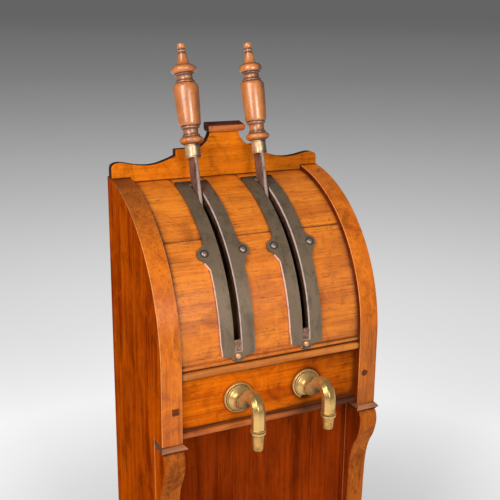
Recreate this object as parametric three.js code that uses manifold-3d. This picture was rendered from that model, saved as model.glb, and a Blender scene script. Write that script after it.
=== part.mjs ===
// A two-pull beer engine in its curved-front bar cabinet, in millimetres.
// The sizes are measured from the front face of the side boards (depth 0), from the
// middle of the cabinet (across 0) and from where the arched front starts to curve
// (height 0). The finished group is moved so that it stands on the floor at height 0
// with its box centred on the origin. The front faces -Y and +Z is up.
import * as THREE from 'three';
import { mergeVertices } from 'three/addons/utils/BufferGeometryUtils.js';
import Module from 'manifold-3d';

const wasm = await Module();
wasm.setup();

// Gaps
const fit = 0.3; // left between pieces that touch
const overrun = 2; // how far a cutting shape runs past what it cuts

// Cabinet
const cabinetWidth = 410;
const cabinetDepth = 248;
const springHeight = 650; // floor to the start of the arch
const archRadius = 275;
const archStep = 3; // degrees between the flats of the arch
const sideThickness = 36;
const boardRecess = 8; // curved boards behind the arched edges of the sides
const boardThickness = 12;
const boardJointAngle = 44.6; // degrees up the arch
const nosingTop = 2;
const nosingHeight = 9;
const nosingProud = 3.2;
const nosingRound = 2;
const housingDepth = 6; // how far shelves and rails are let into the sides

// Fascia and its mouldings
const fasciaRecess = 11.5;
const fasciaThickness = 18;
const fasciaHeight = 87.5;
const upperBeadTop = 11.5;
const upperBeadHeight = 12.5;
const upperBeadRecess = 2;
const lowerBeadHeight = 16;
const lowerBeadRecess = 5;
const beadSteps = 6;

// Front legs
const capGap = 2; // between the lower bead and the caps
const capHeight = 11.5;
const capProud = 9;
const capOverhang = 4; // how far its ends flare past the outer face of the side board
const capInward = 6; // and past the inner face
const capLedge = 2.5;
const capFall = 5;
const capEdge = 1.5;
const legDepth = 36; // thickness of the scrolled front leg at its joint with the side
const scrollLength = 200;
const scrollBulge = 11;
const scrollHollow = 22; // how far the leg falls back below the scroll

// Lower front, back and bottom
const panelDepth = 48;
const panelThickness = 12;
const panelLap = 3; // how far the front boards reach up behind the fascia
const panelJoints = [-86, 101.5];
const backThickness = 10;
const baseHeight = 40; // floor to the top of the bottom board
const baseThickness = 18;

// Crest
const crestThickness = 15;
const crestSetback = 4; // from the back of the cabinet
const crestEndInset = 1.5;
const crestDroop = 3; // the right end of the sweep hangs lower than the left one
const crestEarRise = 23; // above the top of the arch, as are the next three
const crestHollowRise = 15.5;
const crestStepRise = 40;
const crestNeckRise = 66.7;
const crestStepAcross = 85;
const crestNeckHalf = 28.8;
const crestShoulderHalf = 53;
const headShift = 9.5; // the neck and its cap stand right of the middle
const crestCapHalf = 36;
const crestCapHeight = 12.4; // along its front edge
const crestCapSlope = 4.8; // its back edge stands higher
const crestCapShift = 2; // right of the neck
const crestCapProud = 8;
const crestCapRound = 7;
const crestCapEase = 1.6;

// Pegs in the sides
const pegInset = 12; // from the inner face of the side
const pegDrop = 69;
const pegSize = 12;
const pegLength = 28;
const pegProud = 0.5;

// Quadrant plates
const pullSpacing = 128.5;
const pullShift = -3.7; // the two pulls stand a little left of the middle
const plateThickness = 5;
const plateHalf = 30.5;
const plateSetback = 27.2; // from the crest to the top of the plate
const plateTopLand = 12.5; // plate above its slot
const plateLobeHalf = 46.5;
const lobeScrewAcross = 35;
const lobeScrewAngle = 38.4;
const lobeRadius = 11.5;
const slotHalf = 7.35;
const slotFoot = 13; // up the arch from the spring line
const footCorner = 11;
const footDrop = 5.5;
const footScrewRise = 6;
const plateStep = 2.4; // degrees between rows of the plate
const bufferThickness = 5.5;
const bufferRecess = 1.5;
const screwHeadRadius = 4.6;
const screwHeadHeight = 2.4;
const footScrewHeadRadius = 5;
const footScrewHeadHeight = 3.4;
const screwShankRadius = 2;
const screwLength = 14;

// Levers
const pivotDepth = 99.5;
const pivotDrop = 10;
const leverPull = 57.4; // degrees forward of upright at full pull
const leverThickness = 9;
const barDepth = 22;
const barShowing = 55.2; // above the plate
const bossRadius = 14;
const armLength = 60;
const armRootDepth = 22;
const armTipRadius = 10;
const armPinRadius = 5;
const tangRadius = 5;
const tangLength = 60;
const ferruleLength = 23.4;
const ferruleRadius = 14.4;
const ferruleRim = 0.6;
const gripLength = 176.6;
const gripRadius = 22.8;
const leverClearance = 4.5; // along the arch between the lever and the top of its slot
const stopClearance = 1.2; // between the lever and the buffer at full pull

// Fulcrum
const shaftRadius = 7;
const railDepth = 50;
const railDrop = 38; // below the pivot
const railHeight = 20;
const bracketDepth = 36;
const bracketHalf = 26;
const bracketBase = 6;
const bracketCheek = 7;
const cheekGap = 1;
const cheekRadius = 13;

// Crosshead and piston
const yokeGap = 0.8;
const yokeCheek = 6;
const yokeWall = 6;
const yokeClearance = 1.6; // lost motion between the arm pin and its slot
const yokeTop = 12;
const yokeWaist = 24;
const yokeFoot = 34;
const yokeFootHalf = 9;
const rodRadius = 6;
const pistonRestGap = 8; // above the foot of the barrel
const pistonLiftGap = 10; // below the top cap at full lift
const pistonHeight = 18;
const pistonGroove = 1.2;
const pistonPorts = 4;
const pistonPortRadius = 6;
const rodCollar = 10;
const rodCollarHeight = 4;

// Pump cylinder
const cylinderBore = 32;
const cylinderWall = 3;
const flangeRim = 7; // past the wall of the barrel
const flangeHeight = 6;
const glandGap = 6; // between the gland and the crosshead at rest
const shelfThickness = 18;
const topCapHeight = 14;
const glandRadius = 15;
const glandHeight = 7;
const chamberRadius = 27;
const chamberHeight = 10;
const outletBoss = 13;
const outletReach = 5;
const footCapHeight = 16;
const footCapRim = 3; // past the wall of the barrel
const inletRadius = 13;
const inletLength = 22;
const inletBore = 7;
const inletChamfer = 1.2;

// Delivery pipe and spout
const pipeRadius = 9;
const pipeBore = 6;
const unionRadius = 16;
const unionLength = 12;
const spoutSpacing = 130;
const spoutRise = 41; // above the foot of the fascia
const roseRadius = 26.4;
const roseHeight = 20.5;
const shankRadius = 10.4;
const shankTail = 6;
const neckHalf = 11; // centre of the eight-sided neck to one of its flats
const neckBore = 6.6;
const neckReaches = [53.2, 55.5]; // left and right spout
const neckRise = 21.5;
const neckFalls = [28, 23.7]; // the left spout hangs lower
const neckCollar = 5; // thickness of the eight-sided collar between rose and neck
const neckCollarProud = 1.5;
const collarRadius = 13;
const collarHeight = 8;
const nozzleTopRadius = 10.2;
const nozzleTipRadius = 8.3;
const nozzleTipRound = 3.3;
const nozzleTipEase = 1.1;
const nozzleLengths = [29, 22];
const nozzleBore = 5;
const roseChip = 9.6; // worn off the lower edge of the right rose
const roseChipReachShare = 0.42; // left of its middle, of its radius

// Counts of sides
const roundSides = 24;
const smallSides = 12;
const turnedSides = 16;
const neckSides = 8;
const nutSides = 6;
const neckSteps = 14;
const pipeSteps = 8;
const domeSteps = 4;

// Worked out from the sizes above
const halfTurn = 180; // degrees
const radians = Math.PI / halfTurn;
const sideNames = ['left', 'right'];
const sideInner = cabinetWidth / 2 - sideThickness;
const pegAcross = sideInner + pegInset;
const floor = -springHeight;
const baseTop = floor + baseHeight;
const boardOuter = archRadius - boardRecess;
const boardInner = boardOuter - boardThickness;
const plateInner = boardOuter + fit;
const plateOuter = plateInner + plateThickness;
const pullsAcross = [pullShift - pullSpacing / 2, pullShift + pullSpacing / 2];
const spoutsAcross = [-spoutSpacing / 2, spoutSpacing / 2];
const fasciaFoot = upperBeadTop + upperBeadHeight + fasciaHeight;
const fasciaBack = fasciaRecess + fasciaThickness;
const spoutDrop = fasciaFoot - spoutRise;
const panelTop = fasciaFoot - panelLap;
const capDrop = fasciaFoot + lowerBeadHeight + capGap;
const capFoot = -capDrop - capHeight;
const crestBack = cabinetDepth - crestSetback;
const crestFront = crestBack - crestThickness;
const crestTop = archRadius + crestNeckRise;
const plateTopAngle = angleAtDepth(plateOuter, crestFront - plateSetback);
const slotTopAngle = plateTopAngle - plateTopLand / plateOuter / radians;
const leverLean = leanAgainst(slotTopAngle - leverClearance / plateOuter / radians, plateOuter);
const leverSwing = leverLean + leverPull;
const barLength = leverReach(leverLean, 0, plateOuter) + barShowing;
const armHalfSwing = leverSwing / 2;
const armDrop = armLength * Math.sin(armHalfSwing * radians);
const armShort = armLength * Math.cos(armHalfSwing * radians);
const slotPlay = (armLength - armShort) / 2;
const stroke = 2 * armDrop;
const rodDepth = pivotDepth + (armLength + armShort) / 2;
const pinHeight = -pivotDrop - armDrop;
const railFront = pivotDepth - railDepth / 2;
const railBack = pivotDepth + railDepth / 2;
const railTop = pivotDrop + railDrop;
const barrelOuter = cylinderBore + cylinderWall;
const flangeRadius = barrelOuter + flangeRim;
const topCapFoot = pinHeight - yokeFoot - glandGap - glandHeight - topCapHeight;
const shelfTop = -(topCapFoot - 2 * fit - flangeHeight);
const pistonTop = topCapFoot - pistonLiftGap - stroke;
const cylinderFoot = -(pistonTop - pistonHeight - pistonRestGap);
const outletHeight = topCapFoot + topCapHeight / 2;

// The turned grip, from its tip down, as shares of its length and of its radius
const gripShares = [
  [0.006, 0.14], [0.02, 0.28], [0.044, 0.35], [0.07, 0.335], [0.088, 0.3], [0.1, 0.35],
  [0.119, 0.3], [0.126, 0.37], [0.137, 0.36], [0.205, 0.46], [0.212, 0.54], [0.234, 0.88],
  [0.262, 1.04], [0.29, 1.01], [0.312, 0.8], [0.33, 0.7], [0.36, 0.64], [0.383, 0.67],
  [0.395, 0.78], [0.41, 0.88], [0.432, 0.97], [0.545, 1], [0.69, 0.96], [0.81, 0.9],
  [0.838, 0.8], [0.842, 0.68], [0.858, 0.66], [0.885, 0.57], [0.912, 0.6], [0.93, 0.66],
  [0.942, 0.86], [0.974, 0.97], [0.993, 0.82], [1, 0.62],
];

// The scrolled edge of a leg, from its top down, as shares of the scroll's length and of
// its bulge, and then as shares of how far it falls back
const scrollBulgeShares = [[0, 0.45], [0.03, 0.8], [0.07, 1], [0.12, 1], [0.185, 0.73], [0.27, 0.14]];
const scrollFallShares = [[0.335, 0.27], [0.4, 0.52], [0.48, 0.7], [0.56, 0.82], [0.68, 0.9], [1, 1]];

// The crest outline outwards from its step, as shares of the distance from step to end and
// of the rise from the hollow to the top of the ear
const crestSweepShares = [
  [0, 1.75], [0.06, 1.35], [0.17, 0.75], [0.28, 0.25], [0.4, 0], [0.52, 0.05], [0.65, 0.35],
  [0.78, 0.82], [0.87, 1], [0.94, 0.85], [0.985, 0.4], [1, -0.4],
];

// One shoulder of the crest, from the neck outwards, as shares of its breadth and height
const crestShoulderShares = [[0, 1], [0.08, 0.75], [0.3, 0.42], [0.62, 0.15], [1, 0.02]];

// The edge of a plate round a screw lobe: shares of the lobe radius up the arch from the
// screw, and of how far the lobe stands out
const lobeEdgeShares = [
  [2.2, 0], [1.5, 0.1], [1.1, 0.35], [0.8, 0.72], [0.42, 0.94], [0, 1], [-0.42, 0.94],
  [-0.85, 0.66], [-1.05, 0.45], [-1.4, 0.36], [-1.9, 0.2], [-2.5, 0],
];

// The foot of a plate: shares of the fall from its corners to its tip, and of its half width
const footEdgeShares = [
  [0, 1], [0.1, 0.94], [0.24, 0.68], [0.34, 0.42], [0.46, 0.37], [0.8, 0.29], [1, 0.14],
];

// The rose, outwards from the fascia: shares of its height and of its radius
const roseShares = [
  [0, 1], [0.27, 1], [0.36, 0.965], [0.37, 0.9], [0.43, 0.87], [0.47, 0.8], [0.6, 0.68], [0.74, 0.54],
  [0.86, 0.47], [1, 0.45],
];

// The centre line of the neck: shares of its reach forward and of its rise or, below 0, its fall
const neckShares = [
  [0, 0], [0.07, 0.03], [0.16, 0.22], [0.28, 0.56], [0.42, 0.86], [0.57, 1], [0.72, 1], [0.86, 0.8],
  [0.96, 0.4], [1, -0.1], [1, -1],
];

const walnut = new THREE.Color(0xa8561a);
const finishes = {
  sideWood: { color: 0x9a4e1c, roughness: 0.45, metalness: 0 },
  curvedWood: { color: 0xb9672a, roughness: 0.4, metalness: 0 },
  fasciaWood: { color: walnut, roughness: 0.4, metalness: 0 },
  panelWood: { color: 0x6e2a17, roughness: 0.5, metalness: 0 },
  plainWood: { color: 0x8a6a45, roughness: 0.8, metalness: 0 },
  pegWood: { color: 0x4a2a18, roughness: 0.7, metalness: 0 },
  gripWood: { color: 0xb5703a, roughness: 0.3, metalness: 0 },
  iron: { color: 0x54504a, roughness: 0.5, metalness: 0.9 },
  leverSteel: { color: 0x6b5148, roughness: 0.5, metalness: 0.8 },
  screwSteel: { color: 0x9a9690, roughness: 0.35, metalness: 1 },
  brass: { color: 0xb08d4a, roughness: 0.35, metalness: 1 },
  leather: { color: 0x7a6252, roughness: 0.8, metalness: 0 },
};

// Solids

// A closed geometry as a solid, with its shared corners merged and its faces outward
function asSolid(geometry) {
  geometry.deleteAttribute('normal');
  geometry.deleteAttribute('uv');
  const merged = mergeVertices(geometry);
  const index = merged.index.array;
  const places = merged.attributes.position.array;
  const kept = [];
  let volume = 0;
  for (let i = 0; i < index.length; i += 3) {
    const [a, b, c] = [index[i], index[i + 1], index[i + 2]];
    if (a === b || b === c || c === a) continue;
    kept.push(a, b, c);
    const [p, q, r] = [a, b, c].map((k) => new THREE.Vector3().fromArray(places, k * 3));
    volume += p.dot(q.cross(r));
  }
  const triVerts = Uint32Array.from(volume < 0 ? kept.reverse() : kept);
  const vertProperties = Float32Array.from(places);
  return new wasm.Manifold(new wasm.Mesh({ numProp: 3, vertProperties, triVerts }));
}

function join(first, ...others) {
  return others.reduce((whole, other) => whole.add(other), first);
}

function cut(first, ...others) {
  return others.reduce((whole, other) => whole.subtract(other), first);
}

function extruded(points, length) {
  const shape = new THREE.Shape(points.map(([u, v]) => new THREE.Vector2(u, v)));
  return new THREE.ExtrudeGeometry(shape, { depth: length, bevelEnabled: false });
}

function turnedTo(geometry, across, up, along) {
  return geometry.applyMatrix4(new THREE.Matrix4().makeBasis(across, up, along));
}

const axisX = new THREE.Vector3(1, 0, 0);
const axisY = new THREE.Vector3(0, 1, 0);
const axisZ = new THREE.Vector3(0, 0, 1);

// An outline of (depth, height) points carried across from left to right
function prismAcross(points, left, right) {
  const body = turnedTo(extruded(points, right - left), axisY, axisZ, axisX);
  return asSolid(body.translate(left, 0, 0));
}

// An outline of (across, height) points carried from front to back
function prismDeep(points, front, back) {
  const body = turnedTo(extruded(points, back - front), axisX, axisZ, axisY.clone().negate());
  return asSolid(body.translate(0, back, 0));
}

// An outline of (across, depth) points carried up
function prismUp(points, bottom, top) {
  return asSolid(extruded(points, top - bottom).translate(0, 0, bottom));
}

function rectangle(left, right, bottom, top) {
  return [[left, bottom], [right, bottom], [right, top], [left, top]];
}

function block(left, right, front, back, bottom, top) {
  return prismUp(rectangle(left, right, front, back), bottom, top);
}

function disc(radius, sides, u = 0, v = 0, phase = 0) {
  const turn = (2 * Math.PI) / sides;
  return Array.from({ length: sides }, (_, k) => [
    u + radius * Math.cos((k + phase) * turn),
    v + radius * Math.sin((k + phase) * turn),
  ]);
}

// A closed profile of (radius, height) points turned about the upright axis
function turned(profile, sides) {
  const points = profile.map(([radius, height]) => new THREE.Vector2(radius, height));
  return asSolid(new THREE.LatheGeometry(points, sides).rotateX(Math.PI / 2));
}

// A section carried along a curve, with any bore through it
function swept(section, curve, steps, bore = []) {
  const shape = new THREE.Shape(section.map(([u, v]) => new THREE.Vector2(u, v)));
  if (bore.length) shape.holes.push(new THREE.Path(bore.map(([u, v]) => new THREE.Vector2(u, v))));
  return asSolid(new THREE.ExtrudeGeometry(shape, { steps, extrudePath: curve, bevelEnabled: false }));
}

// The arch

function archPoint(radius, degrees) {
  return [archRadius - radius * Math.cos(degrees * radians), radius * Math.sin(degrees * radians)];
}

function angleAtDepth(radius, depth) {
  return Math.acos((archRadius - depth) / radius) / radians;
}

function archPoints(radius, from, to) {
  const points = [archPoint(radius, from)];
  for (let k = Math.floor(from / archStep) + 1; k * archStep < to; k += 1) {
    points.push(archPoint(radius, k * archStep));
  }
  points.push(archPoint(radius, to));
  return points;
}

// Everything under the arch at a radius, as a cutter between two places across
function underArch(radius, left, right) {
  const outline = [...archPoints(radius, 0, halfTurn), [archRadius, 0]];
  return prismAcross(outline, left, right);
}

// The distance from the pivot to a radius of the arch, along a line of the lever that
// runs beside its centre line, at an offset to its back
function leverReach(lean, offset, radius) {
  const [sine, cosine] = [Math.sin(lean * radians), Math.cos(lean * radians)];
  const depth = pivotDepth + offset * cosine - archRadius;
  const height = -pivotDrop - offset * sine;
  const along = depth * sine + height * cosine;
  return Math.sqrt(along * along - (depth * depth + height * height - radius * radius)) - along;
}

// The place up the arch, in degrees, where such a line meets it
function leverCrossing(lean, offset, radius) {
  const [sine, cosine] = [Math.sin(lean * radians), Math.cos(lean * radians)];
  const reach = leverReach(lean, offset, radius);
  const depth = pivotDepth + offset * cosine - archRadius + reach * sine;
  const height = -pivotDrop - offset * sine + reach * cosine;
  return Math.atan2(height, -depth) / radians;
}

// The lean at which the back of the lever meets a place up the arch
function leanAgainst(degrees, radius) {
  const [depth, height] = archPoint(radius, degrees);
  const across = depth - pivotDepth;
  const up = height + pivotDrop;
  return (Math.atan2(across, up) - Math.asin(barDepth / 2 / Math.hypot(across, up))) / radians;
}

// A distance along the boards of the arch as an angle in degrees
function alongArch(distance) {
  return distance / boardOuter / radians;
}

// The place up the arch that the front of the lever reaches at full pull, less its clearance
function stopAngle(radius) {
  return leverCrossing(-leverPull, -barDepth / 2, radius) - alongArch(stopClearance);
}

const bufferInner = plateOuter - bufferRecess - bufferThickness;
const bufferTopAngle = stopAngle(bufferInner);
const slotFootAngle = alongArch(slotFoot);
const boardSlotAngle = Math.min(slotFootAngle, stopAngle(boardInner));

// Cabinet pieces

function sideBoard(sign) {
  const outer = (sign * cabinetWidth) / 2;
  const inner = sign * sideInner;
  const [left, right] = [Math.min(outer, inner), Math.max(outer, inner)];
  const outline = [
    [legDepth, floor],
    [legDepth, -capDrop],
    [0, -capDrop],
    ...archPoints(archRadius, 0, angleAtDepth(archRadius, cabinetDepth)),
    [cabinetDepth, floor],
  ];
  const [deep, clear] = [inner + sign * (housingDepth + fit), inner - sign * overrun];
  const [from, to] = [Math.min(deep, clear), Math.max(deep, clear)];
  const housings = [
    [shelfFront(), -shelfTop - shelfThickness, -shelfTop, shelfBack()],
    [railFront, -railTop - railHeight, -railTop, railBack],
    [legDepth + 2 * fit, baseTop - baseThickness, baseTop, shelfBack()],
  ].map(([front, low, high, back]) =>
    block(from, to, front - fit, back + fit, low - fit, high + fit));
  const shaftHole = prismAcross(disc(shaftRadius + fit, smallSides, pivotDepth, -pivotDrop), from, to);
  const pegHole = prismDeep(pegOutline(sign, fit), -overrun, pegLength + fit);
  return cut(prismAcross(outline, left, right), ...housings, shaftHole, pegHole);
}

function shelfFront() {
  return panelDepth + panelThickness + fit;
}

function shelfBack() {
  return cabinetDepth - backThickness - fit;
}

// The left peg is square and the right one round
function pegOutline(sign, gap) {
  const across = sign * pegAcross;
  const half = pegSize / 2 + gap;
  if (sign < 0) return rectangle(across - half, across + half, -pegDrop - half, -pegDrop + half);
  return disc(half, smallSides, across, -pegDrop);
}

function peg(sign) {
  return prismDeep(pegOutline(sign, 0), -pegProud, pegLength);
}

function legCap(sign) {
  const [outer, inner] = [(sign * cabinetWidth) / 2, sign * sideInner];
  const [left, right] = [Math.min(outer, inner), Math.max(outer, inner)];
  const [leftFlare, rightFlare] = sign < 0 ? [capOverhang, capInward] : [capInward, capOverhang];
  const top = -capDrop - fit;
  const lip = top - capFall;
  const layers = [
    [capLedge, top],
    [capProud, lip],
    [capProud, lip - capEdge],
    [capProud - capOverhang, capFoot + fit],
  ];
  const back = legDepth - fit;
  const rings = layers.map(([proud, height]) => {
    const flare = (proud - capLedge) / (capProud - capLedge);
    return [
      [left, back, height], [right, back, height], [right, 0, height],
      [right + flare * rightFlare, -proud, height], [left - flare * leftFlare, -proud, height],
      [left, 0, height],
    ];
  });
  return stacked(rings);
}

// Rings of equal count, from the top down, joined by walls and closed by flat ends
function stacked(rings) {
  const count = rings[0].length;
  const places = rings.flat(2);
  const index = [];
  for (let row = 0; row + 1 < rings.length; row += 1) {
    for (let k = 0; k < count; k += 1) {
      const next = (k + 1) % count;
      const [a, b] = [row * count + k, row * count + next];
      index.push(a, b, a + count, b, b + count, a + count);
    }
  }
  const last = (rings.length - 1) * count;
  for (let k = 1; k + 1 < count; k += 1) {
    index.push(0, k + 1, k);
    index.push(last, last + k, last + k + 1);
  }
  const geometry = new THREE.BufferGeometry();
  geometry.setAttribute('position', new THREE.Float32BufferAttribute(places, 3));
  geometry.setIndex(index);
  return asSolid(geometry);
}

function leg(sign) {
  const top = capFoot - fit;
  const outer = (sign * cabinetWidth) / 2;
  const inner = sign * sideInner;
  const outline = [
    [legDepth - fit, top],
    ...scrollBulgeShares.map(([fall, bulge]) => [-bulge * scrollBulge, top - fall * scrollLength]),
    ...scrollFallShares.map(([fall, back]) => [back * scrollHollow, top - fall * scrollLength]),
    [scrollHollow, floor],
    [legDepth - fit, floor],
  ];
  return prismAcross(outline, Math.min(outer, inner), Math.max(outer, inner));
}

function curvedBoard(from, to, foot) {
  const half = sideInner - fit;
  const outer = archPoints(boardOuter, from, Math.min(to, angleAtDepth(boardOuter, cabinetDepth)));
  const inner = archPoints(boardInner, from, Math.min(to, angleAtDepth(boardInner, cabinetDepth)));
  const board = prismAcross([...foot, ...outer, ...inner.reverse()], -half, half);
  const cutters = pullsAcross.flatMap((across) => [leverSlot(across), ...plateScrewHoles(across)]);
  return cut(board, ...cutters);
}

// The lower edge of the curved front: a rounded nosing, cut round the feet of the plates
function nosing() {
  const face = boardRecess - nosingProud;
  const foot = nosingTop - nosingHeight;
  return [
    [boardRecess + boardThickness, foot],
    [face + nosingRound, foot],
    [face, foot + nosingRound],
    [face, nosingTop - nosingRound],
    [boardRecess, nosingTop],
  ];
}

function leverSlot(across) {
  const outer = archPoints(boardOuter + overrun, boardSlotAngle, slotTopAngle);
  const inner = archPoints(boardInner - overrun, boardSlotAngle, slotTopAngle);
  return prismAcross([...outer, ...inner.reverse()], across - slotHalf, across + slotHalf);
}

function plateScrewPlaces() {
  return [
    ['left', -lobeScrewAcross, lobeScrewAngle],
    ['right', lobeScrewAcross, lobeScrewAngle],
    ['foot', 0, alongArch(footScrewRise)],
  ];
}

// Puts a solid made along the upright axis square to the arch, its foot on the plate
function onPlate(solid, across, degrees) {
  const [depth, height] = archPoint(plateOuter, degrees);
  return solid.rotate([90 - degrees, 0, 0]).translate([across, depth, height]);
}

function plateScrewHoles(across) {
  const length = plateThickness + screwLength + overrun;
  return plateScrewPlaces().map(([, offset, degrees]) => {
    const hole = prismUp(disc(screwShankRadius + fit, smallSides), -length, overrun);
    return onPlate(hole, across + offset, degrees);
  });
}

function footCutter(across) {
  const gap = 2 * fit;
  const edge = footEdge().map(([angle, half]) => [half + gap, archPoint(plateOuter, angle)[1] - gap]);
  const outline = [
    ...edge.map(([half, height]) => [across + half, height]),
    ...edge.reverse().map(([half, height]) => [across - half, height]),
  ];
  const top = footCorner + overrun;
  outline.unshift([across + plateHalf + gap, top]);
  outline.push([across - plateHalf - gap, top]);
  return prismDeep(outline, -overrun, boardRecess + fit);
}

function lowerCurvedBoard() {
  const board = curvedBoard(0, boardJointAngle, nosing());
  const behind = prismAcross(boardBehindPlate(), -sideInner, sideInner);
  return cut(board, ...pullsAcross.map((across) => cut(footCutter(across), behind)));
}

// What stays of the lower board behind the foot of a plate
function boardBehindPlate() {
  const foot = nosingTop - nosingHeight - overrun;
  const back = boardRecess + boardThickness;
  const face = archPoints(boardOuter, 0, boardJointAngle);
  return [[boardRecess, foot], ...face, [back, footCorner], [back, foot]];
}

function upperCurvedBoard() {
  return curvedBoard(boardJointAngle + alongArch(fit), halfTurn, []);
}

// A half-round edge between two heights, bulging forward to a depth
function beadEdge(bottom, top, face, back) {
  const half = (top - bottom) / 2;
  const reach = Math.min(half, back - face);
  return Array.from({ length: beadSteps + 1 }, (_, k) => {
    const turn = (Math.PI * k) / beadSteps;
    return [face + reach - reach * Math.sin(turn), bottom + half + half * Math.cos(turn)];
  });
}

function moulding(top, height, face, back) {
  const edge = beadEdge(top - height, top, face, back);
  const half = sideInner - fit;
  return prismAcross([[back, top], ...edge, [back, top - height]], -half, half);
}

function upperBead() {
  return moulding(-upperBeadTop, upperBeadHeight, upperBeadRecess, fasciaRecess - fit);
}

function lowerBead() {
  return moulding(-fasciaFoot - fit, lowerBeadHeight, lowerBeadRecess, panelDepth - fit);
}

function fasciaBoard() {
  const half = sideInner - fit;
  const top = nosingTop - nosingHeight - fit;
  const board = block(-half, half, fasciaRecess, fasciaBack, -fasciaFoot, top);
  const holes = spoutsAcross.map((across) => {
    const hole = disc(shankRadius + fit, roundSides, across, -spoutDrop);
    return prismDeep(hole, fasciaRecess - overrun, fasciaBack + overrun);
  });
  return cut(board, ...holes);
}

function frontPanelBoards() {
  const edges = [-sideInner, ...panelJoints, sideInner];
  const back = panelDepth + panelThickness;
  return edges.slice(1).map((right, k) =>
    block(edges[k] + fit, right - fit / 2, panelDepth, back, baseTop + fit, -panelTop));
}

function backPanel() {
  const half = sideInner - fit;
  const top = archPoint(boardInner, angleAtDepth(boardInner, cabinetDepth - backThickness))[1] - fit;
  return block(-half, half, cabinetDepth - backThickness, cabinetDepth, baseTop - baseThickness, top);
}

function bottomBoard() {
  const half = sideInner + housingDepth;
  return block(-half, half, legDepth + 2 * fit, shelfBack(), baseTop - baseThickness, baseTop);
}

function pumpShelf() {
  const half = sideInner + housingDepth;
  const [low, high] = [-shelfTop - shelfThickness, -shelfTop];
  const board = block(-half, half, shelfFront(), shelfBack(), low, high);
  const radius = barrelOuter + fit;
  const holes = pullsAcross.map((across) =>
    prismUp(disc(radius, roundSides, across, rodDepth), low - overrun, high + overrun));
  return cut(board, ...holes);
}

function fulcrumRail() {
  const half = sideInner + housingDepth;
  return block(-half, half, railFront, railBack, -railTop - railHeight, -railTop);
}

function crestBoard() {
  const front = crestFront;
  const end = cabinetWidth / 2 - crestEndInset;
  const earRise = crestEarRise - crestHollowRise;
  const crestHollow = archRadius + crestHollowRise;
  const sweep = crestSweepShares.map(([out, up]) => [
    crestStepAcross + out * (end - crestStepAcross), crestHollow + up * earRise]);
  const crestStepTop = archRadius + crestStepRise;
  const [shoulderBreadth, shoulderHeight] = [crestShoulderHalf - crestNeckHalf, crestTop - crestStepTop];
  const shoulder = crestShoulderShares.map(([out, up]) => [
    crestNeckHalf + out * shoulderBreadth, crestStepTop + up * shoulderHeight]);
  const right = [
    ...shoulder.map(([across, height]) => [headShift + across, height]),
    [crestStepAcross, crestStepTop],
    ...sweep.map(([across, height], k) => [across, height - crestSweepShares[k][0] * crestDroop])];
  const left = [
    ...shoulder.map(([across, height]) => [headShift - across, height]),
    [-crestStepAcross, crestStepTop], ...sweep.map(([across, height]) => [-across, height])];
  const foot = boardOuter * Math.sin(angleAtDepth(boardOuter, front) * radians) - overrun;
  const outline = [...left.reverse(), ...right, [end, foot], [-end, foot]];
  const board = prismDeep(outline, front, crestBack);
  const reach = end + overrun;
  const notch = sideInner - fit;
  return cut(
    board,
    underArch(boardOuter + fit, -reach, reach),
    underArch(archRadius + fit, -reach, -notch),
    underArch(archRadius + fit, notch, reach),
  );
}

function crestCap() {
  const front = crestFront - crestCapProud;
  const bottom = crestTop + fit;
  const top = bottom + crestCapHeight;
  const middle = headShift + crestCapShift;
  const [left, right] = [middle - crestCapHalf, middle + crestCapHalf];
  const edge = [
    [crestCapEase, top, crestCapSlope],
    [0, top - crestCapEase, crestCapSlope],
    [0, bottom + crestCapRound, 0],
    [crestCapEase, bottom + crestCapEase, 0],
    [crestCapRound, bottom, 0],
  ];
  const rings = edge.map(([inset, height, slope]) => [
    [left + inset, crestBack, height + slope],
    [right - inset, crestBack, height + slope],
    [right - inset, front + inset, height],
    [left + inset, front + inset, height],
  ]);
  return stacked(rings);
}

// Quadrant plates and what fastens them

function footEdge() {
  const corner = alongArch(footCorner);
  const tip = alongArch(-footDrop);
  return footEdgeShares.map(([fall, half]) => [corner + fall * (tip - corner), half * plateHalf]);
}

// Rows of the plate from its top down: place up the arch in degrees, and half width
function plateRows() {
  const lobeProud = plateLobeHalf - plateHalf;
  const lobe = lobeEdgeShares.map(([up, out]) => [
    lobeScrewAngle + alongArch(up * lobeRadius), plateHalf + out * lobeProud]);
  const [lobeTop, lobeFoot] = [lobe[0][0], lobe.at(-1)[0]];
  const foot = footEdge();
  const rows = [[plateTopAngle, plateHalf], [slotTopAngle, plateHalf]];
  for (let k = Math.floor(plateTopAngle / plateStep); k * plateStep > foot[0][0]; k -= 1) {
    const angle = k * plateStep;
    if (angle > lobeTop || angle < lobeFoot) rows.push([angle, plateHalf]);
  }
  rows.push(...lobe, ...foot);
  if (slotFootAngle > foot[0][0]) rows.push([slotFootAngle, plateHalf]);
  rows.sort((a, b) => b[0] - a[0]);
  return rows.filter(([angle], k) => k === 0 || rows[k - 1][0] - angle > fit / boardOuter);
}

function quadrantPlate(across) {
  const rows = plateRows();
  const outer = rows.map(([angle, half]) => [
    [-half, ...archPoint(plateOuter, angle)], [half, ...archPoint(plateOuter, angle)],
    [half, ...archPoint(plateInner, angle)], [-half, ...archPoint(plateInner, angle)]]);
  const slot = [
    ...archPoints(plateOuter + overrun, slotFootAngle, slotTopAngle),
    ...archPoints(plateInner - overrun, slotFootAngle, slotTopAngle).reverse()];
  const blank = stacked(outer.map((row) => row.slice().reverse()));
  const plate = cut(blank, prismAcross(slot, -slotHalf, slotHalf)).translate([across, 0, 0]);
  return cut(plate, ...plateScrewHoles(across));
}

function slotBuffer() {
  const half = slotHalf - fit;
  const footAngle = slotFootAngle + alongArch(fit);
  const outer = archPoints(plateOuter - bufferRecess, footAngle, bufferTopAngle);
  const inner = archPoints(bufferInner, footAngle, bufferTopAngle);
  return prismAcross([...outer, ...inner.reverse()], -half, half);
}

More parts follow.
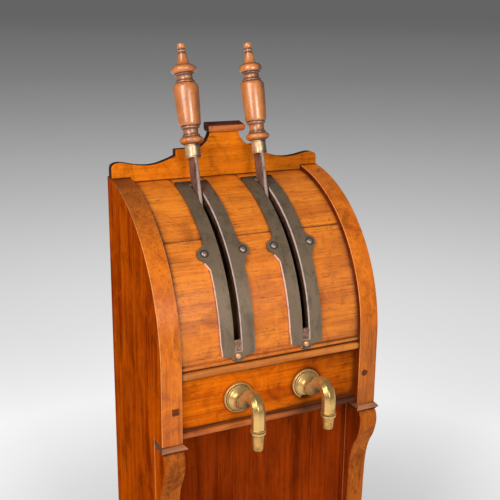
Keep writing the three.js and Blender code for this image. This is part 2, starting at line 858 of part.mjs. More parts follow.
function domedScrew(headRadius, headHeight) {
  const dome = Array.from({ length: domeSteps + 1 }, (_, k) => {
    const turn = (Math.PI * k) / 2 / domeSteps;
    return [headRadius * Math.cos(turn), fit + headHeight * Math.sin(turn)];
  });
  const shank = screwShankRadius;
  return turned([[0, -screwLength], [shank, -screwLength], [shank, fit], ...dome], smallSides);
}

function plateScrew(name, across, degrees) {
  const isFoot = name === 'foot';
  const head = isFoot ? footScrewHeadRadius : screwHeadRadius;
  const height = isFoot ? footScrewHeadHeight : screwHeadHeight;
  return onPlate(domedScrew(head, height), across, degrees);
}

// The lever, made about its pivot with its bar upright

function armEnd() {
  const angle = (leverLean - armHalfSwing) * radians;
  return [armLength * Math.cos(angle), armLength * Math.sin(angle)];
}

function lever() {
  const half = leverThickness / 2;
  const [depth, height] = armEnd();
  const [alongDepth, alongHeight] = [depth / armLength, height / armLength];
  const [root, tip] = [armRootDepth / 2, armTipRadius];
  const arm = [
    [-alongHeight * root, alongDepth * root],
    [alongHeight * root, -alongDepth * root],
    [depth + alongHeight * tip, height - alongDepth * tip],
    [depth - alongHeight * tip, height + alongDepth * tip],
  ];
  const pinHalf = half + yokeGap + yokeCheek;
  const body = join(
    prismAcross(rectangle(-barDepth / 2, barDepth / 2, 0, barLength), -half, half),
    prismAcross(disc(bossRadius, roundSides), -half, half),
    prismAcross(arm, -half, half),
    prismAcross(disc(armTipRadius, roundSides, depth, height), -half, half),
    prismAcross(disc(armPinRadius, smallSides, depth, height), -pinHalf, pinHalf),
    prismUp(disc(tangRadius, smallSides), barLength - overrun, barLength + tangLength),
  );
  return cut(body, prismAcross(disc(shaftRadius + fit, roundSides), -half - overrun, half + overrun));
}

function ferrule() {
  const [bottom, top] = [barLength + fit, barLength + ferruleLength];
  const rim = ferruleRadius + ferruleRim;
  const inner = tangRadius + fit;
  const lip = 2 * ferruleRim;
  return turned([
    [inner, bottom], [rim, bottom], [rim, bottom + lip], [ferruleRadius, bottom + 2 * lip],
    [ferruleRadius, top], [inner, top], [inner, bottom]], turnedSides);
}

function grip() {
  const bottom = barLength + ferruleLength + fit;
  const outline = gripShares.map(([down, out]) => [out * gripRadius, bottom + (1 - down) * gripLength]);
  const profile = [[0, bottom], ...outline.reverse(), [0, bottom + gripLength]];
  const boreTop = barLength + tangLength + fit;
  const bore = prismUp(disc(tangRadius + fit, smallSides), bottom - overrun, boreTop);
  return cut(turned(profile, turnedSides), bore);
}

// Fulcrum

function fulcrumShaft() {
  const half = sideInner + housingDepth;
  return prismAcross(disc(shaftRadius, smallSides, pivotDepth, -pivotDrop), -half, half);
}

function fulcrumBracket() {
  const foot = -railTop + fit;
  const [bracketFront, bracketBack] = [pivotDepth - bracketDepth / 2, pivotDepth + bracketDepth / 2];
  const inner = leverThickness / 2 + cheekGap;
  const outer = inner + bracketCheek;
  const top = -pivotDrop + cheekRadius;
  const shoulder = cheekRadius / 2;
  const cheek = [
    [bracketFront, foot], [bracketBack, foot], [bracketBack, foot + bracketBase],
    [pivotDepth + cheekRadius, -pivotDrop + shoulder], [pivotDepth + shoulder, top],
    [pivotDepth - shoulder, top], [pivotDepth - cheekRadius, -pivotDrop + shoulder],
    [bracketFront, foot + bracketBase]];
  const body = join(
    block(-bracketHalf, bracketHalf, bracketFront, bracketBack, foot, foot + bracketBase),
    prismAcross(cheek, inner, outer),
    prismAcross(cheek, -outer, -inner),
  );
  const bore = disc(shaftRadius + fit, roundSides, pivotDepth, -pivotDrop);
  return cut(body, prismAcross(bore, -outer - overrun, outer + overrun));
}

// Crosshead, rod and piston, made about the arm pin with the rod hanging down
const pistonHang = pistonTop - pinHeight;

function crosshead() {
  const inner = leverThickness / 2 + yokeGap;
  const outer = inner + yokeCheek;
  const slotLength = slotPlay + armPinRadius + yokeClearance;
  const slotHeight = armPinRadius + yokeClearance;
  const half = slotLength + yokeWall;
  const cheek = [
    [-yokeFootHalf, -yokeFoot], [yokeFootHalf, -yokeFoot], [yokeFootHalf, -yokeWaist], [half, -yokeTop],
    [half, yokeTop], [-half, yokeTop], [-half, -yokeTop], [-yokeFootHalf, -yokeWaist]];
  const slot = rectangle(-slotLength, slotLength, -slotHeight, slotHeight);
  const rodFoot = pistonHang - pistonHeight - fit - rodCollarHeight;
  const body = join(
    prismAcross(cheek, inner, outer),
    prismAcross(cheek, -outer, -inner),
    block(-outer, outer, -yokeFootHalf, yokeFootHalf, -yokeFoot, -yokeWaist),
    prismUp(disc(rodRadius, smallSides), rodFoot, -yokeFoot + overrun),
    prismUp(disc(rodCollar, smallSides), pistonHang + fit, pistonHang + fit + rodCollarHeight),
    prismUp(disc(rodCollar, smallSides), rodFoot, rodFoot + rodCollarHeight),
  );
  return cut(body, prismAcross(slot, -outer - overrun, outer + overrun));
}

function piston() {
  const [bottom, top] = [pistonHang - pistonHeight, pistonHang];
  const radius = cylinderBore - fit;
  const bore = rodRadius + fit;
  const middle = (bottom + top) / 2;
  const body = turned([
    [bore, bottom], [radius, bottom], [radius, middle - pistonGroove], [radius - pistonGroove, middle],
    [radius, middle + pistonGroove], [radius, top], [bore, top], [bore, bottom]], roundSides);
  const circle = (cylinderBore + rodCollar) / 2;
  const ports = Array.from({ length: pistonPorts }, (_, k) => {
    const turn = ((k + 1 / 2) * 2 * Math.PI) / pistonPorts;
    const [across, depth] = [circle * Math.cos(turn), circle * Math.sin(turn)];
    return prismUp(disc(pistonPortRadius, smallSides, across, depth), bottom - overrun, top + overrun);
  });
  return cut(body, ...ports);
}

// Pump, made about the axis of its rod

function cylinder() {
  const [bottom, foot] = [-cylinderFoot, -shelfTop + fit];
  const top = foot + flangeHeight;
  return turned([
    [cylinderBore, bottom], [barrelOuter, bottom], [barrelOuter, foot], [flangeRadius, foot],
    [flangeRadius, top], [cylinderBore, top], [cylinderBore, bottom]], roundSides);
}

function topCap() {
  const bottom = topCapFoot;
  const top = bottom + topCapHeight;
  const bore = rodRadius + fit;
  const body = turned([
    [bore, bottom], [flangeRadius, bottom], [flangeRadius, top - fit], [glandRadius, top],
    [glandRadius, top + glandHeight], [bore, top + glandHeight], [bore, bottom]], roundSides);
  const front = -flangeRadius - outletReach;
  const height = outletHeight;
  const boss = prismDeep(disc(topCapHeight / 2, smallSides, 0, height), front, -rodRadius * 2);
  const wider = prismDeep(disc(outletBoss, smallSides, 0, height), front, -flangeRadius + overrun);
  const rodWay = prismUp(disc(bore, smallSides), bottom - overrun, top + glandHeight + overrun);
  const chamber = prismUp(disc(chamberRadius, roundSides), bottom - overrun, bottom + chamberHeight);
  const outlet = prismDeep(disc(pipeBore, smallSides, 0, height), front - overrun, -chamberRadius + overrun);
  const trim = block(-outletBoss, outletBoss, front - overrun, flangeRadius, bottom - outletBoss * 2, bottom);
  return cut(join(body, boss, wider), rodWay, chamber, outlet, trim);
}

function footCap() {
  const top = -cylinderFoot - fit;
  const bottom = top - footCapHeight;
  const tail = bottom - inletLength;
  const rim = barrelOuter + footCapRim;
  return turned([
    [inletBore, tail], [inletRadius - inletChamfer, tail], [inletRadius, tail + inletChamfer],
    [inletRadius, bottom], [rim, bottom], [rim, top], [inletBore, top], [inletBore, tail]], roundSides);
}

// Delivery pipe, rose, spout and nozzle

function deliveryPipe(pullAcross, spoutAcross) {
  const front = fasciaBack + shankTail + fit;
  const back = rodDepth - flangeRadius - outletReach - fit;
  const start = new THREE.Vector3(spoutAcross, front, -spoutDrop);
  const end = new THREE.Vector3(pullAcross, back, outletHeight);
  const handle = new THREE.Vector3(0, (back - front) / 2, 0);
  const curve = new THREE.CubicBezierCurve3(start, start.clone().add(handle), end.clone().sub(handle), end);
  const pipe = swept(disc(pipeRadius, smallSides), curve, pipeSteps, disc(pipeBore, smallSides));
  const hexagon = disc(unionRadius, nutSides, spoutAcross, -spoutDrop);
  const nut = prismDeep(hexagon, fasciaBack + fit, front + unionLength);
  const seat = disc(shankRadius + fit, roundSides, spoutAcross, -spoutDrop);
  const way = disc(pipeBore, smallSides, spoutAcross, -spoutDrop);
  const hollow = join(
    prismDeep(seat, fasciaBack - overrun, front),
    prismDeep(way, fasciaBack - overrun, front + overrun),
  );
  return join(cut(nut, hollow, prismDeep(way, front, front + unionLength + overrun)), pipe);
}

function roseFace() {
  return fasciaRecess - fit;
}

function rose(sign) {
  const outline = roseShares.map(([out, share]) => [share * roseRadius, out * roseHeight]);
  const bore = shankRadius + fit;
  const profile = [[bore, 0], ...outline, [bore, roseHeight], [bore, 0]];
  const body = turned(profile, roundSides).rotate([90, 0, 0]).translate([0, roseFace(), -spoutDrop]);
  if (sign < 0) return body;
  const left = -roseChipReachShare * roseRadius;
  const chip = block(left, roseRadius, -overrun, roseHeight, -roseRadius, roseChip - roseRadius);
  return cut(body, chip.translate([0, roseFace() - roseHeight + overrun, -spoutDrop]));
}

function neckStart() {
  return roseFace() - roseHeight - fit;
}

function neckPoints(k) {
  const start = neckStart() - neckCollar / 2;
  const rise = (up) => up * (up > 0 ? neckRise : neckFalls[k]);
  return neckShares.map(([out, up]) => [start - out * neckReaches[k], -spoutDrop + rise(up)]);
}

function spout(k) {
  const points = neckPoints(k).map(([depth, height]) => new THREE.Vector3(0, depth, height));
  const curve = new THREE.CatmullRomCurve3(points, false, 'centripetal');
  const toCorner = 1 / Math.cos(Math.PI / neckSides);
  const collarHalf = (neckHalf + neckCollarProud) * toCorner;
  const start = neckStart();
  const shankBack = fasciaBack + shankTail;
  const [depth, height] = neckPoints(k).at(-1);
  const [ringFoot, ringTop] = [height - collarHeight / 2, height + collarHeight / 2];
  const body = join(
    swept(disc(neckHalf * toCorner, neckSides, 0, 0, 1 / 2), curve, neckSteps),
    prismDeep(disc(collarHalf, neckSides, 0, -spoutDrop, 1 / 2), start - neckCollar, start),
    prismDeep(disc(shankRadius, roundSides, 0, -spoutDrop), start - fit, shankBack),
    prismUp(disc(collarRadius, turnedSides, 0, depth), ringFoot, ringTop),
  );
  return cut(
    body,
    swept(disc(neckBore, smallSides), curve, neckSteps),
    prismDeep(disc(neckBore, smallSides, 0, -spoutDrop), start - neckCollar, shankBack + overrun),
    prismUp(disc(neckBore, smallSides, 0, depth), ringFoot - overrun, ringTop),
  );
}

function nozzle(k) {
  const [depth, height] = neckPoints(k).at(-1);
  const top = height - collarHeight / 2 - fit;
  const tip = top - nozzleLengths[k];
  return turned([
    [nozzleBore, tip], [nozzleTipRadius - nozzleTipEase, tip], [nozzleTipRadius, tip + nozzleTipRound],
    [nozzleTopRadius, top], [nozzleBore, top], [nozzleBore, tip]], turnedSides).translate([0, depth, 0]);
}

// Assembly

function mesh(name, solid, finish) {
  const { vertProperties, triVerts } = solid.getMesh();
  const geometry = new THREE.BufferGeometry();
  geometry.setAttribute('position', new THREE.BufferAttribute(vertProperties, 3));
  geometry.setIndex(new THREE.BufferAttribute(triVerts, 1));
  geometry.computeVertexNormals();
  const piece = new THREE.Mesh(geometry, new THREE.MeshStandardMaterial(finishes[finish]));
  piece.name = name;
  return piece;
}

function cabinet() {
  const group = new THREE.Group();
  sideNames.forEach((side, k) => {
    const sign = 2 * k - 1;
    group.add(mesh(`side_board_${side}`, sideBoard(sign), 'sideWood'));
    group.add(mesh(`leg_cap_${side}`, legCap(sign), 'sideWood'));
    group.add(mesh(`scroll_leg_${side}`, leg(sign), 'sideWood'));
    group.add(mesh(`fascia_peg_${side}`, peg(sign), 'pegWood'));
  });
  group.add(mesh('curved_board_lower', lowerCurvedBoard(), 'curvedWood'));
  group.add(mesh('curved_board_upper', upperCurvedBoard(), 'curvedWood'));
  group.add(mesh('upper_bead', upperBead(), 'curvedWood'));
  group.add(mesh('fascia_board', fasciaBoard(), 'fasciaWood'));
  group.add(mesh('lower_bead', lowerBead(), 'curvedWood'));
  frontPanelBoards().forEach((board, k) => group.add(mesh(`front_board_${k + 1}`, board, 'panelWood')));
  group.add(mesh('back_panel', backPanel(), 'plainWood'));
  group.add(mesh('bottom_board', bottomBoard(), 'plainWood'));
  group.add(mesh('pump_shelf', pumpShelf(), 'plainWood'));
  group.add(mesh('fulcrum_rail', fulcrumRail(), 'plainWood'));
  group.add(mesh('fulcrum_shaft', fulcrumShaft(), 'screwSteel'));
  group.add(mesh('crest_board', crestBoard(), 'fasciaWood'));
  group.add(mesh('crest_cap', crestCap(), 'fasciaWood'));
  return group;
}

function pull(side, pullAcross) {
  const group = new THREE.Group();
  group.position.x = pullAcross;
  group.add(mesh(`quadrant_plate_${side}`, quadrantPlate(0), 'iron'));
  group.add(mesh(`slot_buffer_${side}`, slotBuffer(), 'leather'));
  for (const [name, offset, degrees] of plateScrewPlaces()) {
    const finish = name === 'foot' ? 'brass' : 'screwSteel';
    group.add(mesh(`plate_screw_${side}_${name}`, plateScrew(name, offset, degrees), finish));
  }
  group.add(mesh(`fulcrum_bracket_${side}`, fulcrumBracket(), 'iron'));

  const leverGroup = new THREE.Group();
  leverGroup.position.set(0, pivotDepth, -pivotDrop);
  leverGroup.rotation.x = -leverLean * radians;
  leverGroup.add(mesh(`lever_${side}`, lever(), 'leverSteel'));
  leverGroup.add(mesh(`ferrule_${side}`, ferrule(), 'brass'));
  leverGroup.add(mesh(`grip_${side}`, grip(), 'gripWood'));
  group.add(leverGroup);

  const rodGroup = new THREE.Group();
  rodGroup.position.set(0, rodDepth, pinHeight);
  rodGroup.add(mesh(`crosshead_${side}`, crosshead(), 'screwSteel'));
  rodGroup.add(mesh(`piston_${side}`, piston(), 'brass'));
  group.add(rodGroup);

  const pumpGroup = new THREE.Group();
  pumpGroup.position.y = rodDepth;
  pumpGroup.add(mesh(`pump_cylinder_${side}`, cylinder(), 'brass'));
  pumpGroup.add(mesh(`pump_top_cap_${side}`, topCap(), 'brass'));
  pumpGroup.add(mesh(`pump_foot_cap_${side}`, footCap(), 'brass'));
  group.add(pumpGroup);
  return group;
}

function tap(side, k, spoutAcross) {
  const group = new THREE.Group();
  group.position.x = spoutAcross;
  group.add(mesh(`rose_${side}`, rose(2 * k - 1), 'brass'));
  group.add(mesh(`spout_${side}`, spout(k), 'brass'));
  group.add(mesh(`nozzle_${side}`, nozzle(k), 'brass'));
  return group;
}

const beerEngine = new THREE.Group();
beerEngine.add(cabinet());
sideNames.forEach((side, k) => {
  beerEngine.add(pull(side, pullsAcross[k]));
  beerEngine.add(mesh(`delivery_pipe_${side}`, deliveryPipe(pullsAcross[k], spoutsAcross[k]), 'brass'));
  beerEngine.add(tap(side, k, spoutsAcross[k]));
});

// Stand the whole on the floor, with its box centred across and in depth
const bounds = new THREE.Box3().setFromObject(beerEngine, true);
const centre = bounds.getCenter(new THREE.Vector3());
beerEngine.position.set(-centre.x, -centre.y, -bounds.min.z);

export default beerEngine;
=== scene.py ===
# %% [markdown]
# # A two-pull beer engine, dressed
#
# The solids of this beer engine come ready made: every board, lever and spout already has
# its place. This lesson lays the visible surfaces over them. Each piece is worked out with
# numpy in millimetres, in the joiner's own measure: across from the middle of the cabinet,
# deep from the front face of the sides, and up from where the arched front starts to
# curve. One function turns that measure into metres.

# %% Load the solids and find the joiner's measure
import math
import bpy
import numpy as np
from mathutils import Matrix, Vector


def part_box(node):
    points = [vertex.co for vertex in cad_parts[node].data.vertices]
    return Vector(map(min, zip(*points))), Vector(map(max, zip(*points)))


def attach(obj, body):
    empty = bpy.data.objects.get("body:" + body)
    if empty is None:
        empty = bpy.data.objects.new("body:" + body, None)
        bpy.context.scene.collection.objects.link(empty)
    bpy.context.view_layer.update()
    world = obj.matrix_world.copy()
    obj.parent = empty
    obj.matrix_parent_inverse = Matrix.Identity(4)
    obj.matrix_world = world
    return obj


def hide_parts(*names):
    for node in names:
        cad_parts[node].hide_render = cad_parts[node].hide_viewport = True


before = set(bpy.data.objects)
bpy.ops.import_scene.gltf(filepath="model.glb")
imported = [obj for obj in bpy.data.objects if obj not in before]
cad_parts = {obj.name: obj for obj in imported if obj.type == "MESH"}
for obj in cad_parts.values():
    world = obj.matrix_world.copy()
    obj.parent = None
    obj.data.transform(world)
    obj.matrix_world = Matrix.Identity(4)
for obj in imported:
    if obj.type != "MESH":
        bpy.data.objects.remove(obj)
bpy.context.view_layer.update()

MM = 1000  # in a metre
PIVOT_DEPTH, PIVOT_DROP = 99.5, 10.0
shaft_low, shaft_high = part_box("fulcrum_shaft")
front_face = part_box("side_board_left")[0].y * MM
arch_start = (shaft_low.z + shaft_high.z) / 2 * MM + PIVOT_DROP
FLOOR = -arch_start


def placed(points):
    """Millimetres in the joiner's measure, as metres where the solids stand."""
    return (np.asarray(points, float) + (0, front_face, arch_start)) / MM


print(len(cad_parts), "solids; the arch starts", round(arch_start, 1), "mm up")

# %% [markdown]
# ## Arithmetic on sockets
#
# A finish is a graph of nodes. Wiring each sum by hand hides what it means, so a small
# class wraps a socket and lets plain Python expressions add the Math nodes. A second class
# holds one material and has one method that makes every other kind of node.

# %% Sockets that can be added, multiplied and divided
def plug(tree, part, slot):
    """Links a value to a slot, or sets the slot where the value is a plain number."""
    if isinstance(part, Value):
        tree.links.new(part.socket, slot)
    else:
        slot.default_value = part


class Value:
    """A socket of a node tree that takes part in arithmetic."""

    def __init__(self, tree, socket):
        self.tree, self.socket = tree, socket

    def math(self, operation, first, second):
        """A Math node: first, operation, second."""
        node = self.tree.nodes.new("ShaderNodeMath")
        node.operation = operation
        plug(self.tree, first, node.inputs[0])
        plug(self.tree, second, node.inputs[1])
        return Value(self.tree, node.outputs[0])

    def __add__(self, other):
        return self.math("ADD", self, other)

    def __sub__(self, other):
        return self.math("SUBTRACT", self, other)

    def __rsub__(self, other):
        return self.math("SUBTRACT", other, self)

    def __mul__(self, other):
        return self.math("MULTIPLY", self, other)

    def __truediv__(self, other):
        return self.math("DIVIDE", self, other)

    def __rtruediv__(self, other):
        return self.math("DIVIDE", other, self)

    __radd__ = __add__
    __rmul__ = __mul__


# %% [markdown]
# ## A finish under construction
#
# Colours are written as the six figures a colour picker shows, and turned into the linear
# numbers that light needs. The helpers below are the few moves that every finish here is
# made of: a noise stretched along the fibres, a soft threshold, and a tint by a mask.

# %% The finish class
def paint(code):
    """A picker's colour as linear red, green and blue: ((c + 0.055) / 1.055) to the 2.4,
    or c / 12.92 where c is nearly black."""
    shares = np.array([int(code[k:k + 2], 16) for k in (0, 2, 4)]) / 255
    linear = np.where(shares > 0.04045, ((shares + 0.055) / 1.055) ** 2.4, shares / 12.92)
    return (*linear.tolist(), 1.0)


class Finish:
    """A material, its main shader, and the nodes that feed it."""

    def __init__(self, name, shine=0.5):
        self.material = bpy.data.materials.new(name)
        self.material.use_nodes = True
        self.tree = self.material.node_tree
        self.shader = self.tree.nodes["Principled BSDF"]
        self.feed({"Specular IOR Level": shine})

    def feed(self, parts):
        """Values or numbers for the shader's sockets, by their names."""
        for name, part in parts.items():
            plug(self.tree, part, self.shader.inputs[name])

    def node(self, kind, settings=None, values=None, out=0):
        """Any node: its type, then its settings, then the values or links of its sockets."""
        made = self.tree.nodes.new("ShaderNode" + kind)
        for name, setting in (settings or {}).items():
            if name == "stops":
                while len(made.color_ramp.elements) < len(setting):
                    made.color_ramp.elements.new(1.0)
                for stop, (at, colour) in zip(made.color_ramp.elements, setting):
                    stop.position, stop.color = at, colour
            else:
                setattr(made, name, setting)
        for name, part in (values or {}).items():
            plug(self.tree, part, made.inputs[name])
        return Value(self.tree, made.outputs[out])

    def place(self, stretch=(1, 1, 1), shift=(0, 0, 0)):
        """Object coordinates in metres, times a stretch along each axis, plus a shift."""
        spot = self.node("TexCoord", out=3)
        return self.node("Mapping", None, {"Vector": spot, "Scale": stretch, "Location": shift})

    def noise(self, stretch, detail, rough, warp, shift=(0, 0, 0)):
        """A cloudy value about 0.5, whose lumps are 1 / stretch metres long on each axis."""
        return self.node("TexNoise", None, {
            "Vector": self.place(stretch, shift), "Scale": 1.0, "Detail": detail,
            "Roughness": rough, "Distortion": warp})

    def soft(self, value, low, high):
        """0 below low, 1 above high, and 3 t squared less 2 t cubed between them."""
        return self.node("MapRange", {"interpolation_type": "SMOOTHSTEP"}, {
            "Value": value, "From Min": low, "From Max": high})

    def tint(self, base, colour, amount):
        """base times (1 - amount), plus colour times amount."""
        return self.node("Mix", {"data_type": "RGBA"}, {0: amount, 6: base, 7: colour}, out=2)

    def own(self, label):
        """A share painted on the mesh itself, 0 where the mesh has none."""
        return self.node("Attribute", {"attribute_name": label}, out=2)

    def relief(self, height, depth, strength):
        """Light and shade as if the surface rose by height times depth, in metres."""
        bump = self.node("Bump", None, {
            "Height": height, "Distance": depth, "Strength": strength})
        self.feed({"Normal": bump})


print("the grey 808080 is", round(paint("808080")[0], 3), "as light")

# %% [markdown]
# ## Old polished wood
#
# All the wood here is hardwood under old wax: fine fibres, slow light and dark bands,
# short dark pores, a few dents, and dirt and painted shade against the edges. A picture would fix
# that to one board, and it is easier to describe it: noise in solid space, squeezed
# across the fibres, runs on round the end of a board as real wood does.

# %% The recipe for wood
ALONG = {"x": (1, 0, 0), "z": (0, 0, 1)}
WOOD_DIRT_AND_SHADE = paint("341204")


def wood(name, run, colours, fibre, band, pores, gloss, shine, shift, mottle=0.0, label="grime"):
    """Wood whose fibres run along an axis, in a pale, a deep and a dark colour.

    Colour = pale to deep by a slow band, times fine fibres, then mottling, dark pores, dents
    and the dirt and painted shade that the mesh carries. The roughness rises with the fibres and
    with that darkening."""
    pale, deep, dark = map(paint, colours.split())
    finish = Finish(name, shine)
    moved = (shift, shift * 0.7, shift * 1.3)

    def grain(lengthways, crossways, detail, rough, warp):
        stretch = np.where(ALONG[run], lengthways, crossways).tolist()
        return finish.noise(stretch, detail, rough, warp, moved)

    bands = grain(1.8, 24, 3, 0.6, 1.2)
    slow = grain(5, 11, 3, 0.55, 0.5)
    fibres = grain(11, 330, 4, 0.7, 0.25)
    streaks = grain(3.5, 120, 4, 0.7, 0.6)
    ticks = grain(55, 560, 2, 0.5, 0.0)
    spots = grain(95, 95, 3, 0.65, 0.6)
    clouds = finish.noise((30, 30, 22), 4, 0.7, 1.0, moved)
    half = 0.12 + (1 - band) * 0.25
    share = finish.soft(bands * 0.4 + slow * 0.35 + streaks * 0.4, 0.575 - half, 0.575 + half)
    colour = finish.tint(pale, deep, share)
    colour = finish.tint(colour, dark, finish.soft(fibres, 0.48, 0.76) * (0.5 * fibre))
    colour = finish.tint(colour, dark, finish.soft(clouds, 0.5, 0.7) * mottle)
    colour = finish.tint(colour, pale, finish.soft(1 - clouds, 0.52, 0.66) * mottle)
    tick_mask = finish.soft(ticks, 0.62, 0.7) * pores
    spot_mask = finish.soft(spots, 0.66, 0.74) * pores
    colour = finish.tint(colour, dark, tick_mask * 0.7 + spot_mask * 0.5)
    # worked is the dirt and the painted shade that the mesh carries, broken up by the grain; it
    # tints the wood towards the dark dirt-and-shade colour.
    worked = finish.soft(finish.own(label) + (slow + fibres) * 0.45 - 0.45, 0.12, 0.95)
    colour = finish.tint(colour, WOOD_DIRT_AND_SHADE, worked * 0.85)
    rough = gloss + fibres * 0.1 + worked * 0.22 + slow * 0.08
    finish.feed({"Base Color": colour, "Roughness": rough})
    finish.relief(fibres * 0.5 + streaks * 0.5 - tick_mask - spot_mask * 1.5, 0.00035, 0.55)
    return finish.material


# %% [markdown]
# The boards came from different trees and had different lives, so each gets a line of its
# own: its three colours, then how strong its fibres, bands and pores are, how rough and
# how shiny it is, a shift that moves the pattern, and how mottled it is. The rims and the
# crest read their darkening and painted shade under names of their own, so that the faces
# beside them stay free of it.

# %% The woods
# The rim wood and the flank wood are lit and shaded copies of one wood: the edge is painted lighter
# and the outer face darker.
lit_rim_wood = wood("waxed_rim_painted_lit", "z", "e67c16 b2500a 642a04",
                0.9, 0.5, 0.8, 0.23, 0.26, 0.0, 0.45, "rim_grime")
# Paler wood for the bevels along the arrises: a painted highlight on the edges.
highlit_arris_wood = wood("arris_painted_highlight_wood", "z", "ee9c54 cc7830 8a4c1c",
                  0.6, 0.4, 0.4, 0.3, 0.26, 0.0, 0.3, "rim_grime")
leg_wood = wood("mottled_leg_wood", "z", "c0641c 7c380c 3c1a04",
                0.9, 0.6, 0.8, 0.45, 0.05, 6.6, 0.7)
shaded_flank_wood = wood("polished_flank_painted_shaded", "z", "c05204 7e2604 3a1000",
                  1.1, 0.9, 0.4, 0.6, 0.0, 3.1, 0.35)
barrel_wood = wood("honey_barrel_wood", "x", "ec861c b6560a 5e2806",
                   1.1, 0.6, 0.8, 0.33, 0.42, 5.5, 0.35)
fascia_wood = wood("figured_fascia_wood", "x", "ea7408 aa4602 6a2402",
                   0.8, 0.8, 0.7, 0.5, 0.03, 7.7, 0.5)
bead_wood = wood("bead_wood", "x", "d68030 9c4c10 5a2a08", 0.7, 0.7, 0.5, 0.36, 0.3, 4.4, 0.3)
rail_wood = wood("dark_rail_wood", "x", "c86a24 843a10 38140a", 0.7, 1.0, 0.5, 0.26, 0.25, 1.9, 0.3)
panel_wood = wood("red_panel_and_inner_shade_wood", "z", "983808 581803 2a0a02", 1.0, 0.8, 0.4, 0.55, 0.0, 5.2, 0.2)
crest_wood = wood("crest_wood", "x", "f68a18 cc6208 7c3404",
                  0.5, 0.6, 0.8, 0.5, 0.03, 9.3, 0.4, "crest_grime")
crest_edge_wood = wood("dark_crest_edge", "x", "55280c 30140a 190a05", 0.8, 0.7, 0.4, 0.5, 0.1, 2.2)
cap_wood = wood("cap_wood", "x", "c8845e 8a5436 4a2614", 0.7, 0.8, 0.6, 0.34, 0.12, 6.1)
head_wood = wood("crest_cap_wood", "x", "e4823a a8541c 4c220c", 0.6, 0.8, 0.6, 0.3, 0.4, 4.1, 0.3)
head_top_wood = wood("dark_cap_top", "x", "6a2c14 3c180c 1a0a06", 0.6, 0.8, 0.6, 0.4, 0.2, 8.1, 0.3)
plain_wood = wood("plain_inside_wood", "x", "a8845a 84613c 5a3d22", 1.0, 0.7, 0.4, 0.7, 0.2, 8.8)
back_wood = wood("plain_back_wood", "z", "96683c 6e4524 452812", 1.0, 0.8, 0.5, 0.62, 0.2, 2.7)
peg_wood = wood("dark_peg_wood", "x", "74381a 48220e 20100a", 0.8, 0.7, 0.8, 0.5, 0.05, 1.1)
slot_wood = wood("dark_slot_wood", "x", "70503c 443020 1c100a", 0.8, 0.7, 0.4, 0.7, 0.1, 0.4, 0.6)
print(len(bpy.data.materials), "materials so far")

# %% [markdown]
# ## Surfaces as grids
#
# Almost every piece is a row of rings: a board is two rings, a turned grip is a hundred
# circles, a spout is an eight-sided ring carried along a curve. One function joins
# neighbouring rings with four-sided faces and closes the ends, and another makes the
# Blender object, turns its faces outwards and hands it to its body.

# %% Rings, faces and pieces
BEVEL_STEPS, BEVEL_ANGLE = 3, 40


def ring_faces(rows, count, looped=False):
    """Faces between neighbouring rings, and a cap on each end unless the rows close up."""
    index = np.arange(rows * count).reshape(rows, count)
    here = index if looped else index[:-1]
    there = np.roll(index, -1, 0) if looped else index[1:]
    quads = np.stack([here, np.roll(here, -1, 1), np.roll(there, -1, 1), there], -1)
    faces = quads.reshape(-1, 4).tolist()
    return faces if looped else faces + [index[0][::-1].tolist(), index[-1].tolist()]


def outward(mesh, points):
    """Turns a closed mesh the right way out: the triple products of its triangles sum to
    six times the space it encloses, and to less than nothing where it is inside out."""
    mesh.calc_loop_triangles()
    corners = np.empty(len(mesh.loop_triangles) * 3, np.int32)
    mesh.loop_triangles.foreach_get("vertices", corners)
    first, second, third = points[corners].reshape(-1, 3, 3).transpose(1, 0, 2)
    if np.einsum("ij,ij->i", first, np.cross(second, third)).sum() < 0:
        mesh.flip_normals()


def make(name, points, faces, materials, node, slot, body="cabinet", pick=None, shares=None,
         crease=35, ease=0.0, eased_slot=-1):
    """A piece from points in the joiner's measure.

    pick gives each face's material. shares are painted on the points, held between 0 and 1.
    crease is the angle in degrees past which an edge is sharp. ease is the width of a
    rounded arris, and eased_slot its material, or -1 for that of the faces beside it."""
    mesh = bpy.data.meshes.new(name)
    spots = placed(points)
    mesh.from_pydata(spots.tolist(), [], faces)
    for material in materials:
        mesh.materials.append(material)
    if pick is not None:
        mesh.polygons.foreach_set("material_index", np.asarray(pick, np.int32))
    for label, share in (shares or {}).items():
        layer = mesh.attributes.new(label, "FLOAT", "POINT")
        layer.data.foreach_set("value", np.clip(share, 0, 1).astype(np.float32).ravel())
    outward(mesh, spots)
    mesh.shade_smooth()
    mesh.set_sharp_from_angle(angle=math.radians(crease))
    made = bpy.data.objects.new(name, mesh)
    bpy.context.collection.objects.link(made)
    if ease:
        bevel = made.modifiers.new("eased arris", "BEVEL")
        bevel.width, bevel.segments, bevel.limit_method = ease / MM, BEVEL_STEPS, "ANGLE"
        bevel.angle_limit, bevel.harden_normals = math.radians(BEVEL_ANGLE), True
        bevel.material = eased_slot
    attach(made, body)
    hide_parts(node)


def stacked(name, rings, materials, node, slot, looped=False, **rest):
    """A piece from rings, an array of rows x corners x 3."""
    rows, count = rings.shape[:2]
    make(name, rings.reshape(-1, 3), ring_faces(rows, count, looped), materials, node, slot, **rest)


